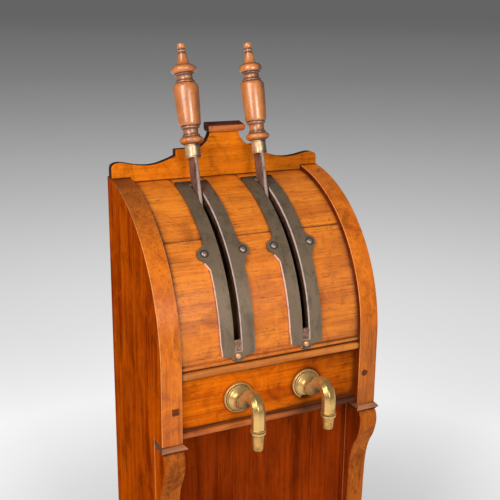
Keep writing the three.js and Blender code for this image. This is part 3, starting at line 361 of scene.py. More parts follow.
def smooth(points, count):
    """A curve through points: cubic pieces, each point's slope taken from its neighbours,
    at steps that follow the square root of each gap so that it never overshoots."""
    points = np.asarray(points, float)
    gaps = np.sqrt(np.linalg.norm(np.diff(points, axis=0), axis=1))
    knots = np.concatenate([[0], np.cumsum(gaps)])
    slopes = np.gradient(points, knots, axis=0)
    at = np.linspace(0, knots[-1], count)
    k = np.clip(np.searchsorted(knots, at, side="right") - 1, 0, len(gaps) - 1)
    t, gap = ((at - knots[k]) / gaps[k])[:, None], gaps[k][:, None]
    return ((2 * t**3 - 3 * t**2 + 1) * points[k] + (t**3 - 2 * t**2 + t) * gap * slopes[k]
            + (3 * t**2 - 2 * t**3) * points[k + 1] + (t**3 - t**2) * gap * slopes[k + 1])


def across(outline, left, right, steps=2):
    """A (depth, height) outline carried across from left to right: one ring a step."""
    outline = np.asarray(outline, float)
    rings = np.empty((steps, len(outline), 3))
    rings[..., 0] = np.linspace(left, right, steps)[:, None]
    rings[..., 1:] = outline
    return rings


def whole_turn(count, offset=0):
    """Equal angles of a whole turn: 2 pi (k + offset) / count."""
    return 2 * math.pi * (np.arange(count) + offset) / count


print("two rings of four corners are joined and closed by", len(ring_faces(2, 4)), "faces")

# %% [markdown]
# ## The two sides
# Each side is one thick board. Its front edge runs straight up and then follows a quarter
# circle back to the crest. The outline is drawn once and carried through the thickness;
# the flat outer face takes the darker flank wood and the edge the honey rim wood, lit and
# shaded copies of one wood painted by the way each faces, and the inner face takes the red
# panel wood as painted shade. The bevel along the arrises has a paler wood of its own, a
# painted highlight along the edge. The bevel along the arrises has a
# paler wood of its own, because an edge is rubbed more than a face.

# %% Side boards
ARCH, HALF, SIDE_INNER = 275.0, 205.0, 169.0
DEPTH, LEG_DEPTH, CAP_DROP = 248.0, 36.0, 129.5
FIT, WITHIN = 0.3, 0.1  # the gap between two pieces, and how far the rim stays in its solid


def on_arch(radius, degrees):
    """Depth and height of places on a circle about the middle of the arch: the depth of the
    middle less radius times the cosine, and radius times the sine."""
    turn = np.radians(degrees)
    return np.stack([ARCH - radius * np.cos(turn), radius * np.sin(turn)], -1)


def angle_at(radius, depth):
    """The angle at which such a circle reaches a depth: arc cosine of (ARCH - depth) / radius."""
    return math.degrees(math.acos((ARCH - depth) / radius))


def smooth_step(value, low, high):
    """0 below low, 1 above high, and 3 t squared less 2 t cubed between them."""
    t = np.clip((value - low) / (high - low), 0, 1)
    return t * t * (3 - 2 * t)


SIDES = {"left": -1, "right": 1}
arch_edge = on_arch(ARCH - WITHIN, np.linspace(0, angle_at(ARCH, DEPTH), 64))
side_outline = np.vstack([
    [[LEG_DEPTH, FLOOR], [LEG_DEPTH, -CAP_DROP], [0, -CAP_DROP]], arch_edge, [[DEPTH, FLOOR]]])
rim_high = side_outline[:, 1]
rim_turn = np.degrees(np.arctan2(rim_high, ARCH - side_outline[:, 0]))
for side, sign in SIDES.items():
    # The rims darken up the arch and are black from the crest on, a painted shadow under the crest;
    # the right one is darker low down.
    grime = (0.65 if sign < 0 else 0.4) * smooth_step(rim_turn, 18, 70)
    grime = np.where(rim_high > 0, grime + smooth_step(rim_turn, 79, 81), 0)
    if sign > 0:
        grime = grime + 0.55 * (1 - smooth_step(rim_high, -20, 100))
    # The edge takes the painted-lit rim wood, the outer face the painted-shaded flank wood, and the
    # inner face the red panel wood as painted shade.
    stacked(f"{side}_side", across(side_outline, sign * SIDE_INNER, sign * HALF),
            [lit_rim_wood, shaded_flank_wood, panel_wood, highlit_arris_wood], f"side_board_{side}", "side_wood",
            pick=[0] * len(side_outline) + [2, 1], ease=1.0, eased_slot=3,
            shares={"rim_grime": np.tile(np.clip(grime, 0, 1), 2)})
print("side outline has", len(side_outline), "corners")

# %% [markdown]
# ## Caps, scrolled legs and pegs
#
# Where a side steps back, a small moulded cap covers the end grain, and a scrolled leg
# carries on below it. The cap could be a box with a moulded front, but its front flares out
# past both faces of the side, first down a sloping top and then in again under a thin lip.
# So it is a stack of six-sided rings, each as wide as the moulding is proud at its height.

# %% Caps
CAP_FOOT, CAP_PROUD, CAP_LEDGE = -141.0, 9.0, 2.5
CAP_OUT, CAP_IN = 4, 6  # how far it flares past the outer and the inner face of the side
cap_proud, cap_height = np.array([
    [2.5, -129.8], [8.4, -134.4], [8.9, -134.9], [9.0, -135.5], [8.9, -136.1], [8.3, -136.6],
    [6.4, -138.2], [5.3, -140.1], [5.0, -140.7]]).T
flare = (cap_proud - CAP_LEDGE) / (CAP_PROUD - CAP_LEDGE)
level, back = np.zeros_like(flare), np.full_like(flare, LEG_DEPTH - FIT)
# Painted shade under the lip, and on the return along the outer face of the side.
painted_shade_under_lip = np.repeat(smooth_step(-cap_height, 135.8, 138), 6) * 0.9
painted_shade_on_return = np.tile([0.8, 0.8, 0.4, 0, 0, 0], len(flare))
for side, sign in SIDES.items():
    outer, inner = level + sign * HALF, level + sign * SIDE_INNER
    wide_out, wide_in = sign * (HALF + CAP_OUT * flare), sign * (SIDE_INNER - CAP_IN * flare)
    rings = np.stack([np.stack([x, y, cap_height], -1) for x, y in (
        (outer, back), (outer, level), (wide_out, -cap_proud), (wide_in, -cap_proud),
        (inner, level), (inner, back))], 1)
    stacked(f"{side}_cap", rings, [cap_wood], f"leg_cap_{side}", "side_wood", crease=20, ease=0.3,
            shares={"grime": painted_shade_under_lip + painted_shade_on_return})
print("caps stand", CAP_PROUD, "mm proud of the sides")

# %% [markdown]
# The scroll bulges forward just under its cap, like a shoulder, and then falls back to the
# plain line of the leg. Arcs would need a centre for each bend, so a smooth curve passes a
# few measured points, given as shares of its length and of its bulge. The pegs are the ends
# of the pins that hold the fascia: the left one square, the right one round and 2 mm higher.

# %% Legs and pegs
LEG_BULGE, LEG_FALL, SCROLL_LONG = 11, 22, 200
PEG_OUT, PEG_DROP, PEG_HALF, PEG_DEEP = 181, 70, 6.0, (-0.5, 28)
leg_top = CAP_FOOT - FIT
bulge = np.array([[0, 0.45], [0.03, 0.8], [0.07, 1], [0.12, 1], [0.185, 0.73], [0.27, 0.14]])
fall = np.array([[0.335, 0.27], [0.4, 0.52], [0.48, 0.7], [0.56, 0.82], [0.68, 0.9], [1, 1]])
scroll = np.vstack([
    np.stack([-LEG_BULGE * bulge[:, 1], leg_top - SCROLL_LONG * bulge[:, 0]], -1),
    np.stack([LEG_FALL * fall[:, 1], leg_top - SCROLL_LONG * fall[:, 0]], -1)])
leg_outline = np.vstack([[[LEG_DEPTH - FIT, leg_top]], smooth(scroll, 72),
                         [[LEG_FALL, FLOOR], [LEG_DEPTH - FIT, FLOOR]]])
for side, sign in SIDES.items():
    # The inner face takes the red panel wood as painted shade, and the outer face the
    # painted-shaded flank wood.
    stacked(f"{side}_leg", across(leg_outline, sign * SIDE_INNER, sign * HALF),
            [leg_wood, shaded_flank_wood, panel_wood], f"scroll_leg_{side}", "side_wood",
            pick=[0] * len(leg_outline) + [2, 1], ease=1.4)
    square = side == "left"
    turn = whole_turn(4, 0.5) if square else whole_turn(24)
    reach = PEG_HALF / math.cos(math.pi / 4) if square else PEG_HALF
    ring = np.stack([sign * PEG_OUT + reach * np.cos(turn), 0 * turn,
                     -PEG_DROP + sign + reach * np.sin(turn)], -1)
    stacked(f"{side}_peg", np.stack([ring + (0, deep, 0) for deep in PEG_DEEP]), [peg_wood],
            f"fascia_peg_{side}", "peg_wood", ease=0.7)
print("scroll reaches", round(float(-scroll[:, 0].min()), 1), "mm in front of the sides")

# %% [markdown]
# ## The curved front
#
# Two boards bent to the arch close the front. Each has a slot for each lever, so each is
# a grid with some cells left out: rows go up the arch, columns go across, and wherever a
# kept cell meets an empty one a wall joins the outer skin to the inner one. The same
# function makes the iron plates later.

# %% Pierced skins
def pierced(outer, inner, kept):
    """Two skins of the same grid, with walls wherever a kept cell has no neighbour.

    Returns the points, the faces, how many of the faces are skin, and the points' places
    in the grid."""
    rows, columns = outer.shape[:2]
    index = np.arange(rows * columns).reshape(rows, columns)
    under = rows * columns
    skin = np.stack([index[:-1, :-1], index[:-1, 1:], index[1:, 1:], index[1:, :-1]], -1)[kept]
    edged = np.pad(kept, 1)
    above, below = edged[:-1, 1:-1], edged[1:, 1:-1]
    left, right = edged[1:-1, :-1], edged[1:-1, 1:]

    def walls(start, end, mask):
        start, end = start[mask], end[mask]
        return np.stack([start, end, end + under, start + under], -1)

    sides = np.vstack([
        walls(index[:, 1:], index[:, :-1], below & ~above),
        walls(index[:, :-1], index[:, 1:], above & ~below),
        walls(index[:-1], index[1:], right & ~left), walls(index[1:], index[:-1], left & ~right)])
    faces = np.vstack([skin, skin[:, ::-1] + under, sides])
    used, again = np.unique(faces, return_inverse=True)
    points = np.vstack([outer.reshape(-1, 3), inner.reshape(-1, 3)])[used]
    return points, again.reshape(faces.shape).tolist(), 2 * len(skin), used


def laid(wide, curve):
    """A grid of points: places across, each with its (depth, height) from a curve."""
    return np.concatenate([wide[..., None], np.broadcast_to(curve, (*wide.shape, 2))], -1)


def near(distance, reach):
    """e to the power -distance / reach: 1 at an edge, falling away over a reach. A distance
    below 0 counts as 0."""
    return np.exp(-np.maximum(distance, 0) / reach)


def centres(steps):
    """The middle of each gap between neighbouring steps: half their sum."""
    return (steps[1:] + steps[:-1]) / 2


def from_nearest(wide, middles):
    """Distance across to the nearest of several middles."""
    return np.min([np.abs(wide - middle) for middle in middles], 0)


print("one reach from an edge,", round(float(near(4, 4)), 2), "of the dirt is left")

# %% [markdown]
# The foot of the lower board is worked into a small nosing, and the nosing is cut away
# round the feet of the plates. Its measures come first, because the plates share them.

# %% Measures of the curved front
BOARD, BOARD_INNER, JOINT = ARCH - 8, ARCH - 20, 44.6
PULLS = {"left": -67.95, "right": 60.55}
SLOT_HALF, SLOT_FOOT, SLOT_TOP = 7.35, 2.79, 71.776
PLATE, PLATE_BACK, PLATE_HALF, PLATE_TOP = ARCH - 2.7, ARCH - 7.7, 30.5, 74.406
PLATE_CURVE, FOOT_LONG = 8, 12  # a plate narrows below the first, over the length of the second
CREST_FRONT, CREST_BACK = 229.0, 244.0
half_board = SIDE_INNER - FIT
foot_shares = np.array([
    [0, 1], [0.04, 0.985], [0.09, 0.93], [0.15, 0.83], [0.22, 0.68], [0.3, 0.46], [0.37, 0.395],
    [0.5, 0.37], [0.8, 0.3], [0.93, 0.22], [1, 0.12]])
foot_heights = PLATE_CURVE - FOOT_LONG * foot_shares[:, 0]
foot_halves = PLATE_HALF * foot_shares[:, 1]
nosing = smooth([[8.2, -7], [6.4, -6.5], [5.2, -5.1], [4.8, -3.4], [5.0, -1.6], [5.9, -0.5],
                 [6.9, -0.1], [6.1, 0.4], [5.7, 1.1], [6.3, 1.9], [7.9, 2.2]], 26)
columns = [np.linspace(-half_board, half_board, 113)]
for middle in PULLS.values():
    columns += [[middle - SLOT_HALF, middle + SLOT_HALF], middle + np.linspace(-15, 15, 31)]
columns = np.unique(np.round(np.concatenate(columns), 2))


def rise_at(degrees):
    """Distance up the face of the boards to an angle of the arch: radians times radius."""
    return np.radians(degrees) * BOARD


print("the boards' face rises", round(float(rise_at(90)), 1), "mm along its curve")

# %% [markdown]
# Painted shade darkens the boards along the sides and round the plates, a painted shadow lies
# under the crest, dark lines mark the joint and the nosing, and painted shade darkens the right
# more than the left. Each point gets its share from its distance to them, which follows the
# shape exactly where a noise would not.

# %% Curved boards
NOTCH_GAP, NOTCH_FOOT, NOTCH_TOP, NOTCH_FACE = 0.8, -6.4, 3, 8.0  # the nosing's cut at a plate


def curved_board(name, node, angles, lower):
    """Outer skin = the nosing, if any, then the arch; inner skin = the same rows further in."""
    profile, inside, rise = on_arch(BOARD, angles), on_arch(BOARD_INNER, angles), rise_at(angles)
    if lower:
        straight = np.full(len(nosing), ARCH - BOARD_INNER)
        inside = np.vstack([np.stack([straight, np.minimum(nosing[:, 1], 0)], -1), inside])
        profile = np.vstack([nosing, profile])
        rise = np.concatenate([nosing[:, 1], rise])
    wide, high = np.meshgrid(columns, rise)
    depth = np.broadcast_to(profile[:, :1], wide.shape).copy()
    # Painted shadow of the rims along both sides, wider on the left.
    grime = near(half_board - np.abs(wide), 4) * 0.85
    grime += near(wide + half_board, 13) * near(150 - high, 60) * 0.5
    grime += near(np.abs(high - rise_at(JOINT)), 1.2) * 0.8
    # Painted shade: darker to the right, most low down.
    grime += 0.38 * smooth_step(wide, 0, 160) * (0.3 + 0.7 * near(high, 170))
    kept = np.ones((len(rise) - 1, len(columns) - 1), bool)
    for middle in PULLS.values():
        off = np.abs(wide - middle)
        foot_half = np.interp(high, foot_heights[::-1], foot_halves[::-1]) + NOTCH_GAP
        notch = np.clip((foot_half - off) / 0.6 + 0.5, 0, 1) * (high > NOTCH_FOOT)
        cut = np.minimum(depth + 9 * notch, np.maximum(depth, NOTCH_FACE))
        depth = np.where(high < NOTCH_TOP, cut, depth)
        # Painted shade round the edges of the plates.
        grime += near(np.abs(off - PLATE_HALF) - 1, 2.0) * 0.55 * (high > PLATE_CURVE)
        slot_rows = (rise[:-1] > rise_at(SLOT_FOOT) - 0.01) & (rise[1:] < rise_at(SLOT_TOP) + 0.01)
        slot_columns = np.abs(centres(columns) - middle) < SLOT_HALF
        kept &= ~(slot_rows[:, None] & slot_columns[None])
    if lower:
        grime += near(np.abs(high - 1.2), 1.1) * 0.7 + near(high + 7, 1.0)
    else:
        # A painted shadow under the crest.
        under_crest = rise_at(angle_at(BOARD, CREST_FRONT)) - high
        grime += near(under_crest, 2.2) + near(under_crest, 9) * 0.4
    outer = np.stack([wide, depth, np.broadcast_to(profile[:, 1:], wide.shape)], -1)
    points, faces, skins, used = pierced(outer, laid(wide, inside[:, None]), kept)
    in_slot = from_nearest(points[np.array(faces)].mean(1)[:, 0], PULLS.values()) < SLOT_HALF + 0.2
    make(name, points, faces, [barrel_wood, slot_wood], node, "curved_wood", crease=50, ease=0.45,
         pick=in_slot & (np.arange(len(faces)) >= skins),
         shares={"grime": np.concatenate([grime.ravel(), 0 * grime.ravel()])[used]})
    print(name, len(faces), "faces, of them", skins, "skin")


low_angles = np.unique(np.concatenate([np.linspace(0.55, JOINT, 60), [SLOT_FOOT]]))
high_angles = np.unique(np.concatenate([np.linspace(JOINT + 0.07, 83.8, 52), [SLOT_TOP]]))
curved_board("lower_curved_front", "curved_board_lower", low_angles, True)
curved_board("upper_curved_front", "curved_board_upper", high_angles, False)

# %% [markdown]
# ## Beads and the fascia
#
# Two rounded beads frame the flat board that carries the spouts. Each is a short profile
# carried across in many steps, so that shade can be painted in the quirks and at the ends.
# The lower one doubles as a rail over the recess, and its right half is darker.

# %% Beads
def bead(name, node, top, height, face, back, above, below, material, darker_right):
    """A half round under a flat quirk of one height and over a quirk of another: depth is
    face + reach - reach times the sine, height is middle + half times the cosine."""
    half = (height - above - below) / 2
    reach, middle = min(half, back - face), top - above - half
    turn = np.linspace(0, math.pi, 17)
    round_edge = np.stack([face + reach - reach * np.sin(turn), middle + half * np.cos(turn)], -1)
    ledge = face + reach + 0.4
    foot = top - height
    outline = np.vstack([[[back, top], [ledge, top], [ledge, top - above]], round_edge,
                         [[ledge, foot + below], [ledge, foot], [back, foot]]])
    rings = across(outline, -half_board, half_board, 60)
    # Painted shade at the ends against the sides, and where the round turns into the quirks above
    # and below.
    grime = near(half_board - np.abs(rings[..., 0]), 3.5) * 0.8
    grime += np.clip(np.abs(rings[..., 2] - middle) / half - 0.84, 0, 1) * 4
    grime += darker_right * smooth_step(rings[..., 0], -60, 80)
    stacked(name, rings, [material], node, "curved_wood", shares={"grime": grime}, crease=50)


bead("bead_over_fascia", "upper_bead", -8.4, 15.6, 2.0, 11.2, 1.0, 0.8, bead_wood, 0.1)
bead("rail_under_fascia", "lower_bead", -111.8, 16.0, 5.0, 47.7, 3.3, 1.0, rail_wood, 0.8)
print("two beads,", round(2 * half_board, 1), "mm long")

# %% [markdown]
# The fascia is a plain board with two holes for the shanks of the spouts. Round holes would
# need a boolean, but the roses hide them, so a few cells of the grid are simply left out.
# Painted shade darkens the board along its sides, under the bead and over its right half, and it is
# darker along its foot and in a ring round the roses.

# %% Fascia
SPOUTS = {"left": -65.0, "right": 65.0}
SPOUT_DROP, HOLE_HALF = 70.5, 10.8
FASCIA_FOOT, FASCIA_TOP, FASCIA_FACE, FASCIA_THICK = -111.5, -7.3, 11.5, 18
hole_edges = [[middle - HOLE_HALF, middle + HOLE_HALF] for middle in SPOUTS.values()]
wide_steps = np.unique(np.concatenate([np.linspace(-half_board, half_board, 91)] + hole_edges))
high_steps = np.unique(np.concatenate([
    np.linspace(FASCIA_FOOT, FASCIA_TOP, 43), [-SPOUT_DROP - HOLE_HALF, -SPOUT_DROP + HOLE_HALF]]))
wide, high = np.meshgrid(wide_steps, high_steps)
skin = np.stack([wide, np.full_like(wide, FASCIA_FACE), high], -1)
hole_columns = from_nearest(centres(wide_steps), SPOUTS.values()) < HOLE_HALF
hole_rows = np.abs(centres(high_steps) + SPOUT_DROP) < HOLE_HALF
points, faces, _, used = pierced(skin, skin + (0, FASCIA_THICK, 0),
                                 ~(hole_rows[:, None] & hole_columns[None]))
ring_round_roses = sum(near(np.hypot(wide - middle - 1, high + SPOUT_DROP + 1) - 26.6, 4)
                for middle in SPOUTS.values())
# Painted shade along the sides, under the bead and over the right half; darker along the foot and
# round the roses.
grime = near(half_board - np.abs(wide), 4.5) * 0.9 + near(-24 - high, 4) * 0.8
grime += near(high - FASCIA_FOOT, 4.5) * 0.8 + ring_round_roses * 0.6 + 0.5 * smooth_step(wide, -40, 150)
make("fascia", points, faces, [fascia_wood], "fascia_board", "curved_wood",
     shares={"grime": np.concatenate([grime.ravel(), 0 * grime.ravel()])[used]})
print("fascia", len(faces), "faces")

# %% [markdown]
# ## The boards behind the legs, the back and the bottom
#
# Behind the legs stand three upright boards of redder wood, set back so that their top is
# in shadow. The back and the bottom are plain boards that nobody was meant to see.

# %% Plain boards
BASE_TOP, BASE_THICK, BACK_THICK, RECESS_TOP = FLOOR + 40, 18, 10, -108.5


def board(name, node, low, high, material, slot, ease=0.8):
    """A board between two corners, its arrises eased."""
    (x0, y0, z0), (x1, y1, z1) = low, high
    rings = across([[y0, z0], [y1, z0], [y1, z1], [y0, z1]], x0, x1)
    stacked(name, rings, [material], node, slot, ease=ease)


joints = [-SIDE_INNER, -86.0, 101.5, SIDE_INNER]
for k, (left, right) in enumerate(zip(joints, joints[1:]), 1):
    board(f"recess_board_{k}", f"front_board_{k}", (left + FIT, 48, BASE_TOP + FIT),
          (right - FIT / 2, 60, RECESS_TOP), panel_wood, "panel_wood", 1.0)
back_front = DEPTH - BACK_THICK
back_top = on_arch(BOARD_INNER, angle_at(BOARD_INNER, back_front))[1] - FIT
board("back_boarding", "back_panel", (-half_board, back_front, BASE_TOP - BASE_THICK),
      (half_board, DEPTH, back_top), back_wood, "plain_wood")
board("bottom", "bottom_board", (-175, LEG_DEPTH + 2 * FIT, BASE_TOP - BASE_THICK),
      (175, back_front - FIT, BASE_TOP), plain_wood, "plain_wood")
print("recess boards reach", round(RECESS_TOP - BASE_TOP), "mm")

# %% [markdown]
# ## The crest
#
# A shaped board stands across the back of the top. Its outline was sawn with hollows and
# ears and left dark along the cut. The head stands a little to the right of the middle,
# and its foot is cut to the slope of the curved front, so the front outline and the back
# outline differ a little at the foot. One half of the top is drawn and then mirrored.

# %% Crest board
CREST_END, CREST_TOP = HALF - 1.5, ARCH + 66.7
HEAD_SHIFT, DROOP = 9.5, 3.0  # the head stands to the right, and the right end hangs lower
SWEEP_START, STEP_TOP = 85, ARCH + 40
sweep_shares = np.array([
    [0, 1.75], [0.06, 1.35], [0.17, 0.75], [0.28, 0.25], [0.4, 0], [0.52, 0.05], [0.65, 0.35],
    [0.78, 0.82], [0.87, 1], [0.94, 0.85], [0.985, 0.4], [1, -0.4]])
shoulder_shares = np.array([[0, 1], [0.08, 0.75], [0.3, 0.42], [0.62, 0.15], [1, 0.02]])
sweep = np.stack([SWEEP_START + (CREST_END - SWEEP_START) * sweep_shares[:, 0],
                  ARCH + 15.5 + 7.5 * sweep_shares[:, 1]], -1)
shoulder = np.stack([28.8 + 24.2 * shoulder_shares[:, 0],
                     STEP_TOP + 26.7 * shoulder_shares[:, 1]], -1)
head_curve = smooth(shoulder, 22)
half_top = np.vstack([head_curve, [[SWEEP_START, STEP_TOP]], smooth(sweep, 52)])
shifted = (np.arange(len(half_top)) < len(head_curve)) * HEAD_SHIFT
droop = DROOP * np.clip((half_top[:, 0] - SWEEP_START) / (CREST_END - SWEEP_START), 0, 1)
top_right = half_top + np.stack([shifted, -droop], -1)
top_left = half_top * (-1, 1) + np.stack([shifted, 0 * shifted], -1)


def crest_outline(depth):
    """The sawn top, then the foot: over the sides, and lower between them. The height of a
    foot is the root of its radius squared less (ARCH - depth) squared."""
    over_side = math.sqrt((ARCH + FIT) ** 2 - (ARCH - depth) ** 2)
    between = math.sqrt((BOARD + FIT) ** 2 - (ARCH - depth) ** 2)
    foot = [[CREST_END, over_side], [half_board, over_side], [half_board, between],
            [-half_board, between], [-half_board, over_side], [-CREST_END, over_side]]
    outline = np.vstack([top_left[::-1], top_right, foot])
    return np.stack([outline[:, 0], np.full(len(outline), depth), outline[:, 1]], -1)


rings = np.stack([crest_outline(CREST_FRONT), crest_outline(CREST_BACK)])
stacked("crest", rings, [crest_edge_wood, crest_wood], "crest_board", "curved_wood",
        pick=[0] * rings.shape[1] + [1, 1], ease=1.0,
        # The crest darkens towards its right end.
        shares={"crest_grime": 0.5 * smooth_step(rings[..., 0], 55, 105)})
print("crest outline has", rings.shape[1], "corners")

# %% [markdown]
# A small moulded cap sits on the head. Its top slopes up to the back, its nose is rounded
# below, and it is nearly black on top and at its left end, where hands and smoke have reached
# it. It is a stack of four-cornered rings, because only its nose and its ends are moulded.

# %% Crest cap
steps = np.linspace(0, math.pi / 2, 7)
cap_inset = np.concatenate([[1.6], 1.6 - 1.6 * np.sin(steps[1:]), 7 - 7 * np.cos(steps)])
cap_rise = np.concatenate([[12.4], 10.8 + 1.6 * np.cos(steps[1:]), 7 - 7 * np.sin(steps)])
cap_height = cap_rise + CREST_TOP + FIT
cap_slope = np.repeat([4.8, 0.0], 7)
cap_left, cap_right = HEAD_SHIFT - 34 + cap_inset, HEAD_SHIFT + 38 - cap_inset
cap_front, cap_back = CREST_FRONT - 8 + cap_inset, np.full_like(cap_inset, CREST_BACK)
rings = np.stack([np.stack([x, y, cap_height + rise], -1) for x, y, rise in (
    (cap_left, cap_back, cap_slope), (cap_right, cap_back, cap_slope),
    (cap_right, cap_front, 0), (cap_left, cap_front, 0))], 1)
walls = np.tile([0, 1, 1, 0], len(rings) - 1)
stacked("crest_top", rings, [slot_wood, head_wood, head_top_wood], "crest_cap", "curved_wood",
        pick=[*walls, 2, 0], ease=0.5, crease=25)
print("crest cap has", len(rings), "rings")

# %% [markdown]
# ## Metals
#
# The iron plates are dull olive grey, rubbed pale in the walls of the slot, with a painted
# highlight down their left edge. The levers are brown with old rust, and a little paler on the
# front edge, which runs in the slot, as a painted highlight. The brass has a film, dark in the
# hollows, and the spouts have lost some of their sheen near the wall. Each metal is a base
# colour broken up by two noises, with the roughness following the colour.

# %% The recipe for metal
METAL_DIRT_AND_SHADE = paint("15110c")


def metal(name, colours, film_share, scale, gloss, spread, sheen, stretch=(1, 1, 1), pit=0.0002,
          dulled=False):
    """Bare metal under a film: base to film by a cloudy noise, then stains by a finer one.

    A dulled metal loses up to 0.8 of its sheen where its own attribute dull says so."""
    base, film, stain = map(paint, colours.split())
    finish = Finish(name)
    cloud = finish.noise(tuple(scale * part for part in stretch), 4, 0.6, 0.5)
    fine = finish.noise(tuple(6 * scale * part for part in stretch), 3, 0.7, 0.2, (3, 1, 2))
    cover = film_share * 0.4
    filmed = finish.soft(cloud * 0.7 + fine * 0.3, 0.62 - cover, 0.86 - cover)
    stained = finish.soft(fine * 0.6 + cloud * 0.4, 0.56, 0.72)
    colour = finish.tint(base, film, filmed)
    colour = finish.tint(colour, stain, stained * 0.55)
    # worked is the dirt and the painted shade that the mesh carries; it tints the metal towards the
    # dark dirt-and-shade colour.
    worked = finish.soft(finish.own("grime") + fine * 0.5 - 0.25, 0.1, 0.9)
    colour = finish.tint(colour, METAL_DIRT_AND_SHADE, worked * 0.85)
    roughness = gloss + filmed * spread + worked * 0.2
    if dulled:
        dull = finish.own("dull")
        sheen = sheen - dull * (sheen * 0.8)
        roughness = roughness + dull * 0.2
    finish.feed({"Metallic": sheen, "Base Color": colour, "Roughness": roughness})
    finish.relief(fine * 0.6 + cloud * 0.4, pit, 0.5)
    return finish.material


# %% [markdown]
# Each metal is its bare colour, its film and its stain, then how far the film reaches, how
# fine the pattern is, how rough it is bare, how much rougher under the film, how metallic
# it is, how the pattern is drawn out, and how deep it is pitted.

# %% The metals
plate_iron = metal("olive_plate_iron", "7e6a54 665542 40352a",
                   0.5, 60, 0.46, 0.1, 0.45, (1, 1, 0.3), 0.00015)
rubbed_and_highlit_iron = metal("iron_edge_rubbed_and_painted_highlight", "fce4d8 c8a090 6b4a3a", 0.35, 90, 0.4, 0.2, 0.1)
lever_rust = metal("rust_browned_lever", "947060 523a30 24160f",
                   0.5, 110, 0.5, 0.25, 0.35, (1, 1, 0.35), 0.0004)
# A paler metal for the lever's front edge: a painted highlight.
lever_edge_highlight = metal("lever_edge_painted_highlight", "a89488 7c6458 543c30",
                     0.4, 120, 0.5, 0.2, 0.5, (1, 1, 0.3))
screw_steel = metal("polished_screw_steel", "a89084 74604f 3c2c24", 0.3, 200, 0.4, 0.2, 0.8)
screw_brass = metal("orange_screw_brass", "e0a070 b07848 5c3818", 0.3, 160, 0.35, 0.2, 0.6)
spout_brass = metal("aged_spout_brass", "d0a664 987438 443010",
                    0.3, 45, 0.25, 0.1, 0.8, (1, 1, 1), 0.00005, dulled=True)
nozzle_brass = metal("filmed_nozzle_brass", "c89650 98723a 6a4c22", 0.5, 70, 0.34, 0.14, 0.6)
ferrule_brass = metal("ferrule_brass", "e0bc94 b0906c 5c4428",
                      0.4, 90, 0.4, 0.12, 0.6, (1, 1, 0.4))
works_brass = metal("works_brass", "b08d4a 8a6c36 59431f", 0.5, 50, 0.35, 0.2, 0.9)
works_iron = metal("works_iron", "5c5750 423d37 2b2621", 0.5, 50, 0.5, 0.15, 0.7)
works_steel = metal("works_steel", "9a9690 77736c 4d4841", 0.5, 50, 0.3, 0.2, 0.9)
worn_lump = metal("worn_buffer", "a88068 543624 24140c",
                  0.6, 200, 0.55, 0.2, 0.2, (1, 1, 0.4), 0.0008)
print(len(bpy.data.materials), "materials so far")

# %% [markdown]
# ## The quadrant plates
#
# Each plate is bent to the arch, slotted down its middle, and widens into two lobes for
# its side screws. The half width is a function of the height up the arch; columns run
# from each edge to the slot, and the cells of the slot are left out. The walls round the
# slot take the rubbed metal, the walls down the left edge the same metal as a painted
# highlight, and the other walls the plate's own.

# %% Plates
SCREW_OUT, LOBE_TURN, FOOT_SCREW = 35, 38.4, 6
SCREWS = {"left": (-SCREW_OUT, LOBE_TURN), "right": (SCREW_OUT, LOBE_TURN),
          "foot": (0, math.degrees(FOOT_SCREW / BOARD))}
# The first is how far the rubbed metal reaches from the slot, the second how high the painted
# highlight runs up the left edge.
RUBBED_HALF, HIGHLIGHT_TOP = 12, 155  # the reach of the rubbed metal, across and up
lobe_shares = np.array([
    [-2.5, 0], [-1.9, 0.2], [-1.4, 0.36], [-1.05, 0.45], [-0.85, 0.66], [-0.42, 0.94], [0, 1],
    [0.42, 0.94], [0.8, 0.72], [1.1, 0.35], [1.5, 0.1], [2.2, 0]])
lobe_middle = rise_at(LOBE_TURN)
lobe_edge = smooth(np.stack([lobe_middle + 11.5 * lobe_shares[:, 0],
                             PLATE_HALF + 16 * lobe_shares[:, 1]], -1), 60)
foot_edge = smooth(np.stack([foot_heights, foot_halves], -1)[::-1], 26)
outline = np.vstack([foot_edge, lobe_edge, [[rise_at(PLATE_TOP), PLATE_HALF]]])
rise = np.unique(np.concatenate([outline[:, 0], np.linspace(PLATE_CURVE, rise_at(PLATE_TOP), 60),
                                 [rise_at(SLOT_FOOT), rise_at(SLOT_TOP)]]))
rise = rise[np.concatenate([[True], np.diff(rise) > 0.12])]
halves = np.interp(rise, outline[:, 0], outline[:, 1])
slot_edge = np.minimum(SLOT_HALF, halves * 0.6)
sweep_in = np.array([0, 0.06, 0.2, 0.4, 0.6, 0.8, 0.93, 1])
flank = halves[:, None] + (slot_edge - halves)[:, None] * sweep_in
wide = np.concatenate([-flank, flank[:, ::-1]], 1)
# The left edge swells by 2.6 just below its screw and is 2.6 further in at the foot.
left_out = np.exp(-((rise - lobe_middle + 8) / 12) ** 2) - (1 - smooth_step(rise, 8, 34))
wide[:, :len(sweep_in)] -= 2.6 * left_out[:, None] * (1 - sweep_in)
slot_rows = (rise[:-1] > rise_at(SLOT_FOOT) - 0.2) & (rise[1:] < rise_at(SLOT_TOP) + 0.2)
kept = np.ones(np.subtract(wide.shape, 1), bool)
kept[slot_rows, len(sweep_in) - 1] = False
high = rise[:, None]
